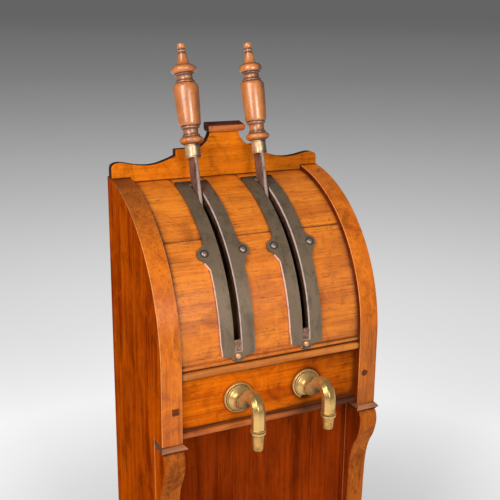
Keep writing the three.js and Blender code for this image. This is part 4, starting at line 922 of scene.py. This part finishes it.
# Painted shade in a ring round each screw head; darker near the foot, and painted shade up the
# plate, most at its top end.
screw_ring_shade = sum(near(np.hypot(wide - out, high - rise_at(turn)) - 5, 1.5)
                 for out, turn in SCREWS.values())
foot_dark_and_top_shade = near(high - 2, 8) * 0.35 + 0.3 * smooth_step(high, 60, 330)
foot_dark_and_top_shade = foot_dark_and_top_shade + near(rise.max() - high, 9) * 0.6
grime = (screw_ring_shade * 0.5 + foot_dark_and_top_shade).ravel()
for side, middle in PULLS.items():
    outer, inner = (laid(wide + middle, on_arch(radius, np.degrees(rise / BOARD))[:, None])
                    for radius in (PLATE, PLATE_BACK))
    points, faces, skins, used = pierced(outer, inner, kept)
    spots = points[np.array(faces)].mean(1)
    # Rubbed metal round the slot, and a painted highlight down the left edge.
    bright = np.abs(spots[:, 0] - middle) < RUBBED_HALF
    bright |= (spots[:, 0] < middle) & (spots[:, 2] < HIGHLIGHT_TOP)
    make(f"{side}_plate", points, faces, [plate_iron, rubbed_and_highlit_iron], f"quadrant_plate_{side}",
         "iron", ease=0.4, crease=40, pick=bright & (np.arange(len(faces)) >= skins),
         shares={"grime": np.concatenate([grime, grime])[used]})
print("plate half widths", round(float(halves.min()), 1), "to", round(float(halves.max()), 1), "mm")

# %% [markdown]
# ## Screws
#
# A screw is a profile turned round its own axis: shank, rim and a domed head. The side
# screws sit in countersinks, so the ring round the dome is painted dark as their shade. The same
# function turns the ferrules, the grips, the roses and the nozzles later.

# %% Turning about any axis
def turned(profile, foot, along, sides=48):
    """Circles of each (radius, height) of a profile, about an axis in the depth-height plane:
    foot + height along the axis + radius times (cosine across + sine the third way)."""
    radius, height = np.asarray(profile, float).T
    along = np.asarray(along, float) / np.linalg.norm(along)
    side_way, other = np.array([1.0, 0, 0]), np.cross(along, [1.0, 0, 0])
    turn = whole_turn(sides)
    circle = np.cos(turn)[:, None] * side_way + np.sin(turn)[:, None] * other
    return np.asarray(foot) + height[:, None, None] * along + radius[:, None, None] * circle


def dome(radius, height, ring, sink=0.15):
    """Shank, a rim round the head, which the screws paint dark as countersink shade, and a dome."""
    turn = np.linspace(0.02, math.pi / 2 - 0.08, 10)
    head = np.stack([radius * np.cos(turn), FIT + height * np.sin(turn)], -1)
    foot = [[2, -14], [2, 0.02], [ring, 0.02], [ring, sink], [radius + 0.25, sink]]
    return np.vstack([foot, head])


print("a screw's profile has", len(dome(5.0, 3.1, 5.2)), "points")

# %% Screws
for side, middle in PULLS.items():
    for name, (out, angle) in SCREWS.items():
        is_foot = name == "foot"
        lean = math.radians(angle)
        profile = dome(5.0, 3.1, 5.2, 0.1) if is_foot else dome(5.3, 2.6, 7.2)
        rings = turned(profile, (middle + out, *on_arch(PLATE, angle)),
                       (0, -math.cos(lean), math.sin(lean)), 32)
        # Painted shade of the countersink on the shank and the ring round the dome.
        grime = np.repeat((np.arange(len(profile)) < 5) * (0.2 if is_foot else 1.0), 32)
        metal_used, slot = (screw_brass, "brass") if is_foot else (screw_steel, "steel")
        stacked(f"{side}_plate_{name}_screw", rings, [metal_used], f"plate_screw_{side}_{name}",
                slot, shares={"grime": grime})
print(len(SCREWS) * len(PULLS), "screws")

# %% [markdown]
# The buffer in the foot of each slot is a lump that the lever has beaten for years. Waves
# of three lengths, added up, roughen its face without any randomness, so it comes out the
# same each time.

# %% Buffers
for side, middle in PULLS.items():
    wide, turn = np.meshgrid(np.linspace(-SLOT_HALF + FIT, SLOT_HALF - FIT, 16),
                             np.linspace(SLOT_FOOT + 0.065, 6.89, 22))
    waves = (np.sin(wide * 2.3 + turn * 9) * 0.5 + np.sin(wide * 4.1 - turn * 17 + 1) * 0.35
             + np.sin(turn * 31) * 0.3)
    rounded = 1.3 * near(SLOT_HALF - FIT - np.abs(wide), 0.9)
    top, under = on_arch(PLATE - 1.7 + 0.35 * waves - rounded, turn), on_arch(PLATE - 7, turn)
    points, faces, _, used = pierced(laid(wide + middle, top), laid(wide + middle, under),
                                     np.ones(np.subtract(wide.shape, 1), bool))
    make(f"{side}_buffer", points, faces, [worn_lump], f"slot_buffer_{side}", "worn_metal",
         crease=60)
print("each buffer has", len(faces), "faces")

# %% [markdown]
# ## The levers
#
# A lever is a flat bar with a boss on the fulcrum shaft and an arm to the rear whose pin
# lifts the pump rod. It is made in its own measure, up along the bar and back across it,
# and leaned over with two unit vectors, because a straight bar is easier to think about.
# The arm lies level half way through the swing, so its pin lifts the rod nearly evenly.

# %% Lever measure
LEAN, SWING = math.radians(15.6108), math.radians(73.0108)
BAR, FERRULE = 327.65, 23.4
UP = np.array([0, math.sin(LEAN), math.cos(LEAN)])
BACK = np.array([0, math.cos(LEAN), -math.sin(LEAN)])


def on_lever(points, middle):
    """(across, back, up) about the pivot, put where the lever stands at rest: pivot + across
    + back times BACK + up times UP."""
    points = np.asarray(points, float)
    pivot = np.array([middle, PIVOT_DEPTH, -PIVOT_DROP])
    return pivot + points[..., :1] * (1, 0, 0) + points[..., 1:2] * BACK + points[..., 2:] * UP


def round_bar(half_wide, half_deep, corner):
    """A rectangle with quarter circles for corners, as (across, back)."""
    turn = np.linspace(0, math.pi / 2, 5)
    parts = []
    for k, (x, y) in enumerate([(1, 1), (-1, 1), (-1, -1), (1, -1)]):
        arc = turn + k * math.pi / 2
        parts.append(np.stack([x * (half_wide - corner) + corner * np.cos(arc),
                               y * (half_deep - corner) + corner * np.sin(arc)], -1))
    return np.vstack(parts)


def gathered(shells):
    """Several closed shells as one list of points and one of faces."""
    points, faces, start = [], [], 0
    for rings in shells:
        rows, count = rings.shape[:2]
        points.append(rings.reshape(-1, 3))
        faces += [[corner + start for corner in face] for face in ring_faces(rows, count)]
        start += rows * count
    return np.vstack(points), faces


def disc_across(radius, back, up, half, sides=40):
    """A disc whose axis runs across, as rings in the lever's measure."""
    turn = whole_turn(sides)
    ring = np.stack([0 * turn, back + radius * np.cos(turn), up + radius * np.sin(turn)], -1)
    return np.stack([ring - (half, 0, 0), ring + (half, 0, 0)])


def raised(section, ups):
    """A section in (across, back), carried up the bar: one ring for each height."""
    section, ups = np.broadcast_arrays(section, np.array(ups, float)[:, None, None])
    return np.concatenate([section, ups[..., :1]], -1)


print("a lever leans back", round(math.degrees(LEAN), 1), "degrees and swings forward by",
      round(math.degrees(SWING), 1))

# %% [markdown]
# The bar is thin where it runs in the slot and 6 mm deeper above the plate, at the back. A
# tang runs up into the grip, and the left bar has a small stud. Each of these is a closed
# shell of its own, and all of them are gathered into one mesh, as if forged together.

# %% Levers
BAR_HALF_DEEP, DEEPER, DEEPER_FROM, DEEPER_AT = 11.5, 6, 277, 288
AT_PLATE = 272.45  # how far up the bar the face of the plate is
ARM, BAR_HALF, TANG, STUD = 60, 4.5, 60, 289
arm_turn = LEAN - SWING / 2
arm_way = np.array([math.cos(arm_turn), math.sin(arm_turn)])
arm_side = np.array([-arm_way[1], arm_way[0]])
pin = ARM * arm_way
bar = raised(round_bar(3.7, BAR_HALF_DEEP, 1.6),
             [0, 60, 120, 180, 240, DEEPER_FROM, 282, DEEPER_AT, BAR])
bar[..., 1] += DEEPER * smooth_step(bar[..., 2], DEEPER_FROM, DEEPER_AT) * (bar[..., 1] > 0)
arm = np.stack([arm_side * 11, -arm_side * 11, pin - arm_side * 10, pin + arm_side * 10])
arm = np.stack([np.column_stack([np.full(4, x), arm]) for x in (-BAR_HALF, BAR_HALF)])
turn = whole_turn(16)
circle = np.stack([np.cos(turn), np.sin(turn)], -1)
forged = [bar, disc_across(14, 0, 0, BAR_HALF), arm, disc_across(10, *pin, BAR_HALF),
          disc_across(5, *pin, 11.3, 24), raised(5 * circle, [BAR - 2, BAR + TANG])]
bulge = np.linspace(0.05, 1.4, 6)[:, None]
stud = np.stack([-3.6 - 1.1 * np.sin(bulge) + 0 * turn, -1 + 2.6 * np.cos(bulge) * np.cos(turn),
                 STUD + 2.6 * np.cos(bulge) * np.sin(turn)], -1)
for side, middle in PULLS.items():
    points, faces = gathered(forged + [stud] * (side == "left"))
    # The front faces take the painted highlight.
    front = [len(face) == 4 and points[face[0], 2] >= 0
             and points[face, 1].mean() < 0.05 - BAR_HALF_DEEP for face in faces]
    make(f"{side}_lever", on_lever(points, middle), faces, [lever_rust, lever_edge_highlight],
         f"lever_{side}", "lever_steel", body=f"pull_lever_{side}", pick=front, crease=40)
print("bar showing above the plate", round(BAR - AT_PLATE, 1), "mm")

# %% [markdown]
# ## Ferrules and grips
#
# A brass ferrule keeps the foot of each grip from splitting. It was turned, so it is a
# profile with a rounded rim at each end. The two grooves inside the rims are darker, and
# painted shade darkens the right side of the ring.

# %% Ferrules
rim = np.array([
    [5.3, FIT], [12.8, FIT], [13.3, 0.8], [13.5, 1.6], [13.3, 2.6], [13.2, 4], [13.1, 12],
    [13.2, 19.6], [13.3, 20.8], [13.5, 21.8], [13.3, 22.8], [12.8, FERRULE], [5.3, FERRULE]])
grooves = near(np.abs(rim[:, 1] - 2.4), 0.4) + near(np.abs(rim[:, 1] - 21), 0.4)
for side, middle in PULLS.items():
    rings = turned(rim + (0, BAR), (middle, PIVOT_DEPTH, -PIVOT_DROP), UP)
    # Darker in the grooves, and painted shade on the right side.
    grime = np.clip(grooves, 0, 1)[:, None] + 0.7 * smooth_step(rings[..., 0] - middle, -6, 4)
    stacked(f"{side}_ferrule_ring", rings, [ferrule_brass], f"ferrule_{side}", "brass", looped=True,
            body=f"pull_lever_{side}", shares={"grime": grime})
print("ferrules are", FERRULE, "mm long")

# %% [markdown]
# The grips were turned on a lathe, and so are these: the profile is a list of strokes from
# the tip down, each with its two radii and how far it swells or hollows between them.
# Where one stroke ends and the next starts at another radius, a crisp step is left, as the
# chisel left it. The steps and the two necks are darker, and painted shade darkens the right
# side. The varnish is a clear coat over the wood.

# %% The wood of the grips
grip_wood = wood("turned_grip_wood", "z", "e6882e a85614 50240a",
                 0.8, 0.6, 0.5, 0.36, 0.9, 4.9, 0.35)
grip_coat = grip_wood.node_tree.nodes["Principled BSDF"].inputs
grip_coat["Coat Weight"].default_value, grip_coat["Coat Roughness"].default_value = 1.0, 0.22
print("varnish over", grip_wood.name)

# %% Grips
GRIP = 176.6


def grip_outline(dish, shoulder, foot, lift):
    """Distances down from the tip, radii there, and where the steps between strokes are.

    A stroke is its start, the radius there, its end, the radius there, and its swell: the
    radius is first + (last - first) t + 4 swell t (1 - t). dish swells the flat disc,
    shoulder and foot are the barrel's two radii, and its foot is lifted by lift."""
    strokes = np.array([
        [0.7, 0.8, 2, 5.4, 0.4], [2, 5.4, 3.8, 7.4, 0.5], [3.8, 7.4, 9.8, 7.3, 0.3],
        [9.8, 7.3, 11.6, 6.1, 0], [11.6, 6.1, 12.6, 6.1, 0], [12.8, 6.8, 17.8, 6.8, 1.0],
        [18, 6.2, 19.4, 6.3, 0], [19.6, 7.6, 36.8, 10.8, -0.5], [36.8, 10.8, 41, 16.8, -0.6],
        [41, 17.6, 53.4, 19.4, dish], [53.4, 19.4, 55, 16.8, 0], [55, 17.4, 57.6, 17, 0.7],
        [57.8, 15, 66.6, 14.8, -0.9], [66.8, 16.2, 70.4, 16.8, 0.6],
        [70.8, 17.3, 77.5, shoulder, 1.0], [77.5, shoulder, 140.6 - lift, foot, 0.6],
        [140.6 - lift, foot, 145.4 - lift, foot - 2, 0.4],
        [145.6 - lift, 16.2, 150 - lift, 15.8, 0.6], [150.2 - lift, 14, 160.6, 13.7, -0.8],
        [160.8, 15.5, 164, 15.5, 0.5], [164.2, 16.6, 176.4, 15.5, 5.6], [GRIP, 14.2, GRIP, 14, 0]])
    share = np.linspace(0, 1, 9)
    start, first, end, last, swell = strokes.T[:, :, None]
    down = (start + (end - start) * share).ravel()
    radius = (first + (last - first) * share + 4 * swell * share * (1 - share)).ravel()
    moved = np.concatenate([[True], (np.diff(down) > 1e-6) | (np.abs(np.diff(radius)) > 1e-6)])
    steps = strokes[1:, 0][np.abs(strokes[1:, 1] - strokes[:-1, 3]) > 0.3]
    return down[moved], radius[moved], np.append(steps, 12.1)


grip_foot = BAR + FERRULE + FIT
for side, cuts in {"left": (4.4, 22.4, 19.4, 0.0), "right": (1.9, 21.6, 18.9, 2.2)}.items():
    down, radius, steps = grip_outline(*cuts)
    at_step = near(np.abs(down[:, None] - steps).min(1) - 0.6, 1.0)
    at_neck = (np.abs(down - 62) < 4.8) | (np.abs(down - 155.2) < 5.6)
    share = np.clip(at_step + 0.25 * at_neck + (0.14 if side == "right" else 0), 0, 1)
    share = np.concatenate([[0, 0], share[::-1]])[:, None]
    profile = np.vstack([[[5.3, BAR + TANG + FIT], [5.3, grip_foot]],
                         np.stack([radius, grip_foot + GRIP - down], -1)[::-1]])
    rings = turned(profile, (PULLS[side], PIVOT_DEPTH, -PIVOT_DROP), UP, 64)
    # Painted shade on the right side of each grip.
    painted_shade_on_right = 0.5 * smooth_step(rings[..., 0] - PULLS[side], -2, 12)
    stacked(f"{side}_turned_grip", rings, [grip_wood], f"grip_{side}", "grip_wood",
            body=f"pull_lever_{side}", shares={"grime": share + painted_shade_on_right}, crease=32)
    print(side, "grip is", round(float(radius.max() * 2), 1), "mm thick at most")

# %% [markdown]
# ## Roses, spouts and nozzles
#
# Each spout screws through a rose: a round flange that rises in two steps to a hub. It is
# turned like the rest. The lower edge of the right one is worn away, so there the circle
# is held above a ragged line, which moves points and leaves the mesh closed.

# %% Roses
ROSE_FACE, WORN_LINE, WORN_FROM = 11.2, 16.6, -11
rose_profile = [[10.7, 0], [26, 0], [26.4, 0.5], [26.4, 4.2], [26, 5.2], [25.3, 5.7], [24.4, 5.7],
                [24, 5.2], [23.5, 5.3], [23.2, 6.4], [23, 7.6], [22.3, 8.5], [21.4, 8.8]]
bell = smooth([[21.2, 8.9], [19.6, 10.6], [17.4, 12.6], [15.3, 14.6], [13.9, 16.6], [13.0, 18.8],
               [12.5, 20.4]], 18)
rose_profile = np.vstack([rose_profile, bell, [[10.7, 20.5]]])
rose_radius, rose_high = rose_profile.T
hollow = near(np.abs(rose_high - 5.3) + np.abs(rose_radius - 23.8) * 0.5, 0.6)
hollow += near(np.abs(rose_high - 8.8), 0.6) * 0.7 + near(20.5 - rose_high, 1.0) * 0.9
for side, middle in SPOUTS.items():
    rings = turned(rose_profile, (middle, ROSE_FACE, -SPOUT_DROP), (0, -1, 0), 72)
    if side == "right":
        off = rings[..., 0] - middle
        ragged = -SPOUT_DROP - WORN_LINE + 0.7 * np.sin(off * 1.1) + 0.4 * np.sin(off * 2.7 + 1)
        worn = np.where(off > WORN_FROM, ragged, -SPOUT_DROP - 30)
        rings[..., 2] = np.maximum(rings[..., 2], worn)
    stacked(f"{side}_spout_rose", rings, [spout_brass], f"rose_{side}", "brass", looped=True,
            crease=40, shares={"grime": np.repeat(hollow, 72),
                               "dull": np.full(rings.size // 3, 0.3)})
print("rose profile", len(rose_profile), "points")

# %% [markdown]
# The neck is an eight-sided tube with its corners just eased. It leaves the hub, rises a
# little, turns over and drops to a ringed collar. A tube on a Blender curve could twist
# its flats, so the section is carried along the path here, ring by ring. The neck has painted
# shade on its underside and where it meets the hub, and less sheen near the wall.

# %% Necks
HUB_START, NECK_START, NECK_HALF, NECK_RISE, SHANK = -9.6, -12.1, 11, 21.5, 10.4
NECKS = {"left": (53.2, 28.0, 29.0), "right": (55.5, 23.7, 22.0)}  # reach, fall, nozzle
neck_shares = np.array([[0, 0], [0.07, 0.03], [0.16, 0.22], [0.28, 0.56], [0.42, 0.86], [0.57, 1],
                        [0.72, 1], [0.86, 0.8], [0.96, 0.4], [1, -0.1], [1, -1]])


def octagon(half, ease):
    """Eight flats whose corners are cut back twice: three points a corner, ease degrees
    apart, and a little less than half / cos 22.5 from the middle."""
    turn = math.radians(45) * np.arange(8)[:, None] + np.radians([22.5 - ease, 22.5, 22.5 + ease])
    reach = half / np.cos(np.radians(22.5)) * (1 - ease * np.array([0.0068, 0.0052, 0.0068]))
    return np.stack([(reach * np.cos(turn)).ravel(), (reach * np.sin(turn)).ravel()], -1)


def neck_path(reach, fall):
    """Depth and height along the middle of a neck: shares of its reach, rise and fall."""
    out, up = neck_shares.T
    up = np.where(up > 0, NECK_RISE, fall) * up
    return smooth(np.stack([NECK_START - reach * out, -SPOUT_DROP + up], -1), 90)


def carried(path, section, middle):
    """A section carried along a path and kept square to it: path + section's height times
    the path's normal, which is its slope turned a quarter round."""
    slope = np.gradient(path, axis=0)
    slope /= np.linalg.norm(slope, axis=1)[:, None]
    normal = np.stack([-slope[:, 1], slope[:, 0]], -1)
    rings = np.empty((len(path), len(section), 3))
    rings[..., 0] = middle + section[:, 0]
    rings[..., 1:] = path[:, None] + normal[:, None] * section[:, 1:]
    return rings


collar, tube = octagon(12.5, 3), octagon(NECK_HALF, 4)
ring_profile = np.array([
    [12.2, 4], [12.9, 3.6], [13, 2.9], [12.8, 2.2], [12.1, 1.7], [11.9, 1.1], [12.1, 0.4],
    [12.8, -0.1], [13, -0.9], [13, -2.6], [12.7, -3.6], [12.2, -4]])
groove = np.repeat(near(np.abs(ring_profile[:, 1] - 1.1), 0.7), 48)
for side, middle in SPOUTS.items():
    reach, fall, _ = NECKS[side]
    path = neck_path(reach, fall)
    hub = np.stack([
        np.stack([middle + collar[:, 0] * size, np.full(len(collar), depth),
                  -SPOUT_DROP + collar[:, 1] * size], -1)
        for depth, size in ((HUB_START, 0.96), (-10.1, 1), (-14.0, 1), (-14.6, 0.95))])
    shank = turned([[SHANK, 9.3], [SHANK, -35.5]], (middle, 0, -SPOUT_DROP), (0, -1, 0), 32)
    ring = turned(ring_profile, (middle, *path[-1]), (0, 0, 1), 48)
    neck = carried(path, tube, middle)
    points, faces = gathered([neck, hub, shank, ring])
    # Painted shade under the neck and where it meets the hub.
    under = 0.9 * near(np.abs(neck[..., 1] + 34), 26) * near(NECK_HALF - tube[:, 1], 8)
    dirt = np.concatenate([under.ravel(), np.full(hub.size // 3, 0.15), np.zeros(shank.size // 3),
                           groove]) + near(np.abs(points[:, 1] + 13), 3) * 0.5
    make(f"{side}_swan_neck", points, faces, [spout_brass], f"spout_{side}", "brass", crease=14,
         shares={"grime": dirt, "dull": 0.6 * smooth_step(points[:, 1], -58, -30)})
    print(side, "mouth is", round(float(-path[-1, 0]), 1), "mm in front of the sides")

# %% [markdown]
# The nozzle is a short taper pushed over the end of the neck, and the left one is longer.
# Its profile runs down inside as well, so that the mouth is open.

# %% Nozzles
BELOW_RING = 4.3  # from the middle of the ring down to the nozzle
for side, middle in SPOUTS.items():
    reach, fall, length = NECKS[side]
    profile = np.array([[5, 0], [7.2, 0], [7.8, 0.3], [8.2, 1.1], [8.4, 2.5], [9.1, 0.5 * length],
                        [10.1, length - 1.2], [10.2, length], [5, length]])
    foot = (middle, NECK_START - reach, -SPOUT_DROP - fall - BELOW_RING - length)
    grime = np.repeat(near(np.abs(profile[:, 1] - length + 0.2), 1.2) * 0.7, 40)
    stacked(f"{side}_spout_nozzle", turned(profile, foot, (0, 0, 1), 40), [nozzle_brass],
            f"nozzle_{side}", "brass", looped=True, crease=40, shares={"grime": grime})
    print(side, "nozzle is", length, "mm long")

# %% [markdown]
# ## The works inside
#
# The shelf, the rail, the brackets, the pumps and their pipes are seen only in glimpses
# through the slots. Their solids have the right shape already, so each just gets the
# finish that belongs to it.

# %% Finishes on the solids inside
inside = {"pump_shelf": plain_wood, "fulcrum_rail": plain_wood, "fulcrum_shaft": works_steel}
for side in SIDES:
    inside.update({f"fulcrum_bracket_{side}": works_iron, f"crosshead_{side}": works_steel})
    for part in ("piston", "pump_cylinder", "pump_top_cap", "pump_foot_cap", "delivery_pipe"):
        inside[f"{part}_{side}"] = works_brass
for node, material in inside.items():
    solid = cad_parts[node].data
    solid.materials.clear()
    solid.materials.append(material)
print(len(inside), "solids keep their shape")

# %% [markdown]
# ## Floor, light and camera
#
# A studio floor stretches so far that it is also the backdrop. Its colour fades from nearly
# white round the cabinet to grey far off, by distance from its own middle, so every side
# view gets the same ground. It also glows, but only for rays from the camera, off a gloss
# or through glass: that makes it pale without a brighter lamp, and lights nothing.

# %% Floor
FLOOR_REACH, FLOOR_CORNERS = 600, 160
ground = Finish("studio_ground")
reach = ground.node("VectorMath", {"operation": "LENGTH"}, {0: ground.place()}, out=1)
fade = reach / (reach + 4.0)
tones = ((0, "e4"), (0.23, "ee"), (0.368, "e6"), (0.43, "dc"), (0.5, "d0"), (0.6, "c0"),
         (0.7, "a8"), (0.8, "98"), (0.9, "8a"), (1, "88"))
glows = ((0.121, 0.125), (0.158, 0.189), (0.195, 0.293), (0.229, 0.368), (0.269, 0.314),
         (0.314, 0.277), (0.367, 0.257), (0.422, 0.237), (0.483, 0.203), (0.549, 0.163),
         (0.623, 0.127), (0.706, 0.1), (0.8, 0.064), (0.905, 0.048), (0.96, 0.024), (1, 0.016))


def shown(tree):
    """1 for rays from the camera, off a gloss or through glass, 0 for the rays that light."""
    rays = tree.nodes.new("ShaderNodeLightPath")
    return sum(Value(tree, rays.outputs[f"Is {kind} Ray"])
               for kind in ("Camera", "Glossy", "Transmission"))


tone_stops = [(at, paint(tone * 3)) for at, tone in tones]
glow_stops = [(at, (part, part, part, 1)) for at, part in glows]
shade = ground.node("ValToRGB", {"stops": tone_stops}, {"Fac": fade})
glow = ground.node("ValToRGB", {"stops": glow_stops}, {"Fac": fade})
ground.feed({"Base Color": shade, "Roughness": 0.9, "Emission Strength": 1.0,
             "Emission Color": ground.tint((0, 0, 0, 1), glow, shown(ground.tree))})
turn = whole_turn(FLOOR_CORNERS)
rim = np.stack([FLOOR_REACH * np.cos(turn), FLOOR_REACH * np.sin(turn), 0 * turn], -1)
mesh = bpy.data.meshes.new("studio_floor")
mesh.from_pydata(rim.tolist(), [], [list(range(FLOOR_CORNERS))])
mesh.materials.append(ground.material)
studio_floor = bpy.data.objects.new("studio_floor", mesh)
bpy.context.collection.objects.link(studio_floor)
print("the floor reaches", FLOOR_REACH, "m")

# %% [markdown]
# The sky lights the cabinet evenly, and rays that see it find the grey of the far floor.
# A large soft lamp stands to the left, as a window would, and a small one nearly in front
# puts the highlights on the grips and spouts. Lamps with an area give soft shadows.

# %% Sky and soft boxes
SKY_LIGHT, SKY_SEEN = (0.45, 0.45, 0.45, 1), paint("646464")
LAMPS_AIM = Vector((0, 0, 0.9))
world = bpy.data.worlds.new("studio")
bpy.context.scene.world = world
world.use_nodes = True
sky = world.node_tree.nodes["Background"]
sky.inputs["Strength"].default_value = 1.0
either = world.node_tree.nodes.new("ShaderNodeMix")
either.data_type = "RGBA"
either.inputs[6].default_value, either.inputs[7].default_value = SKY_LIGHT, SKY_SEEN
plug(world.node_tree, shown(world.node_tree), either.inputs[0])
world.node_tree.links.new(either.outputs[2], sky.inputs["Color"])


def soft_box(name, azimuth, height, distance, size, power):
    """A rectangular lamp at an azimuth from the front, turned to face the cabinet."""
    lamp = bpy.data.lights.new(name, "AREA")
    lamp.shape, lamp.size, lamp.size_y, lamp.energy = "RECTANGLE", *size, power
    made = bpy.data.objects.new(name, lamp)
    turn = math.radians(azimuth)
    spot = Vector((distance * math.sin(turn), -distance * math.cos(turn), height))
    way = LAMPS_AIM - spot
    made.matrix_world = Matrix.Translation(spot) @ way.to_track_quat("-Z", "Y").to_matrix().to_4x4()
    bpy.context.collection.objects.link(made)
    print(name, "gives", power, "W")


soft_box("key_left", -60, 2.2, 2.4, (1.2, 1.9), 52)
soft_box("front_box", 2, 1.6, 2.5, (0.8, 0.7), 29)

# %% [markdown]
# The camera was found from the photograph: its three axes and its place are those that lay
# the corners of the boards over the corners in the picture.

# %% Camera
right = (0.89520, -0.44553, 0.01059)
up = (0.10976, 0.24344, 0.96369)
forward = (0.43193, 0.86153, -0.26683)
lens = bpy.data.cameras.new("photograph_view")
lens.sensor_fit, lens.sensor_width, lens.lens, lens.clip_end = "HORIZONTAL", 36, 61.36, 1500
camera = bpy.data.objects.new("photograph_view", lens)
turned_to = Matrix((right, up, [-part for part in forward])).transposed().to_4x4()
camera.matrix_world = Matrix.Translation((-0.63635, front_face / MM - 1.16829, 1.19695)) @ turned_to
bpy.context.collection.objects.link(camera)
bpy.context.scene.camera = camera
bpy.context.scene.view_settings.view_transform = "Standard"
print("camera stands", round(camera.location.length, 2), "m from the middle of the floor")
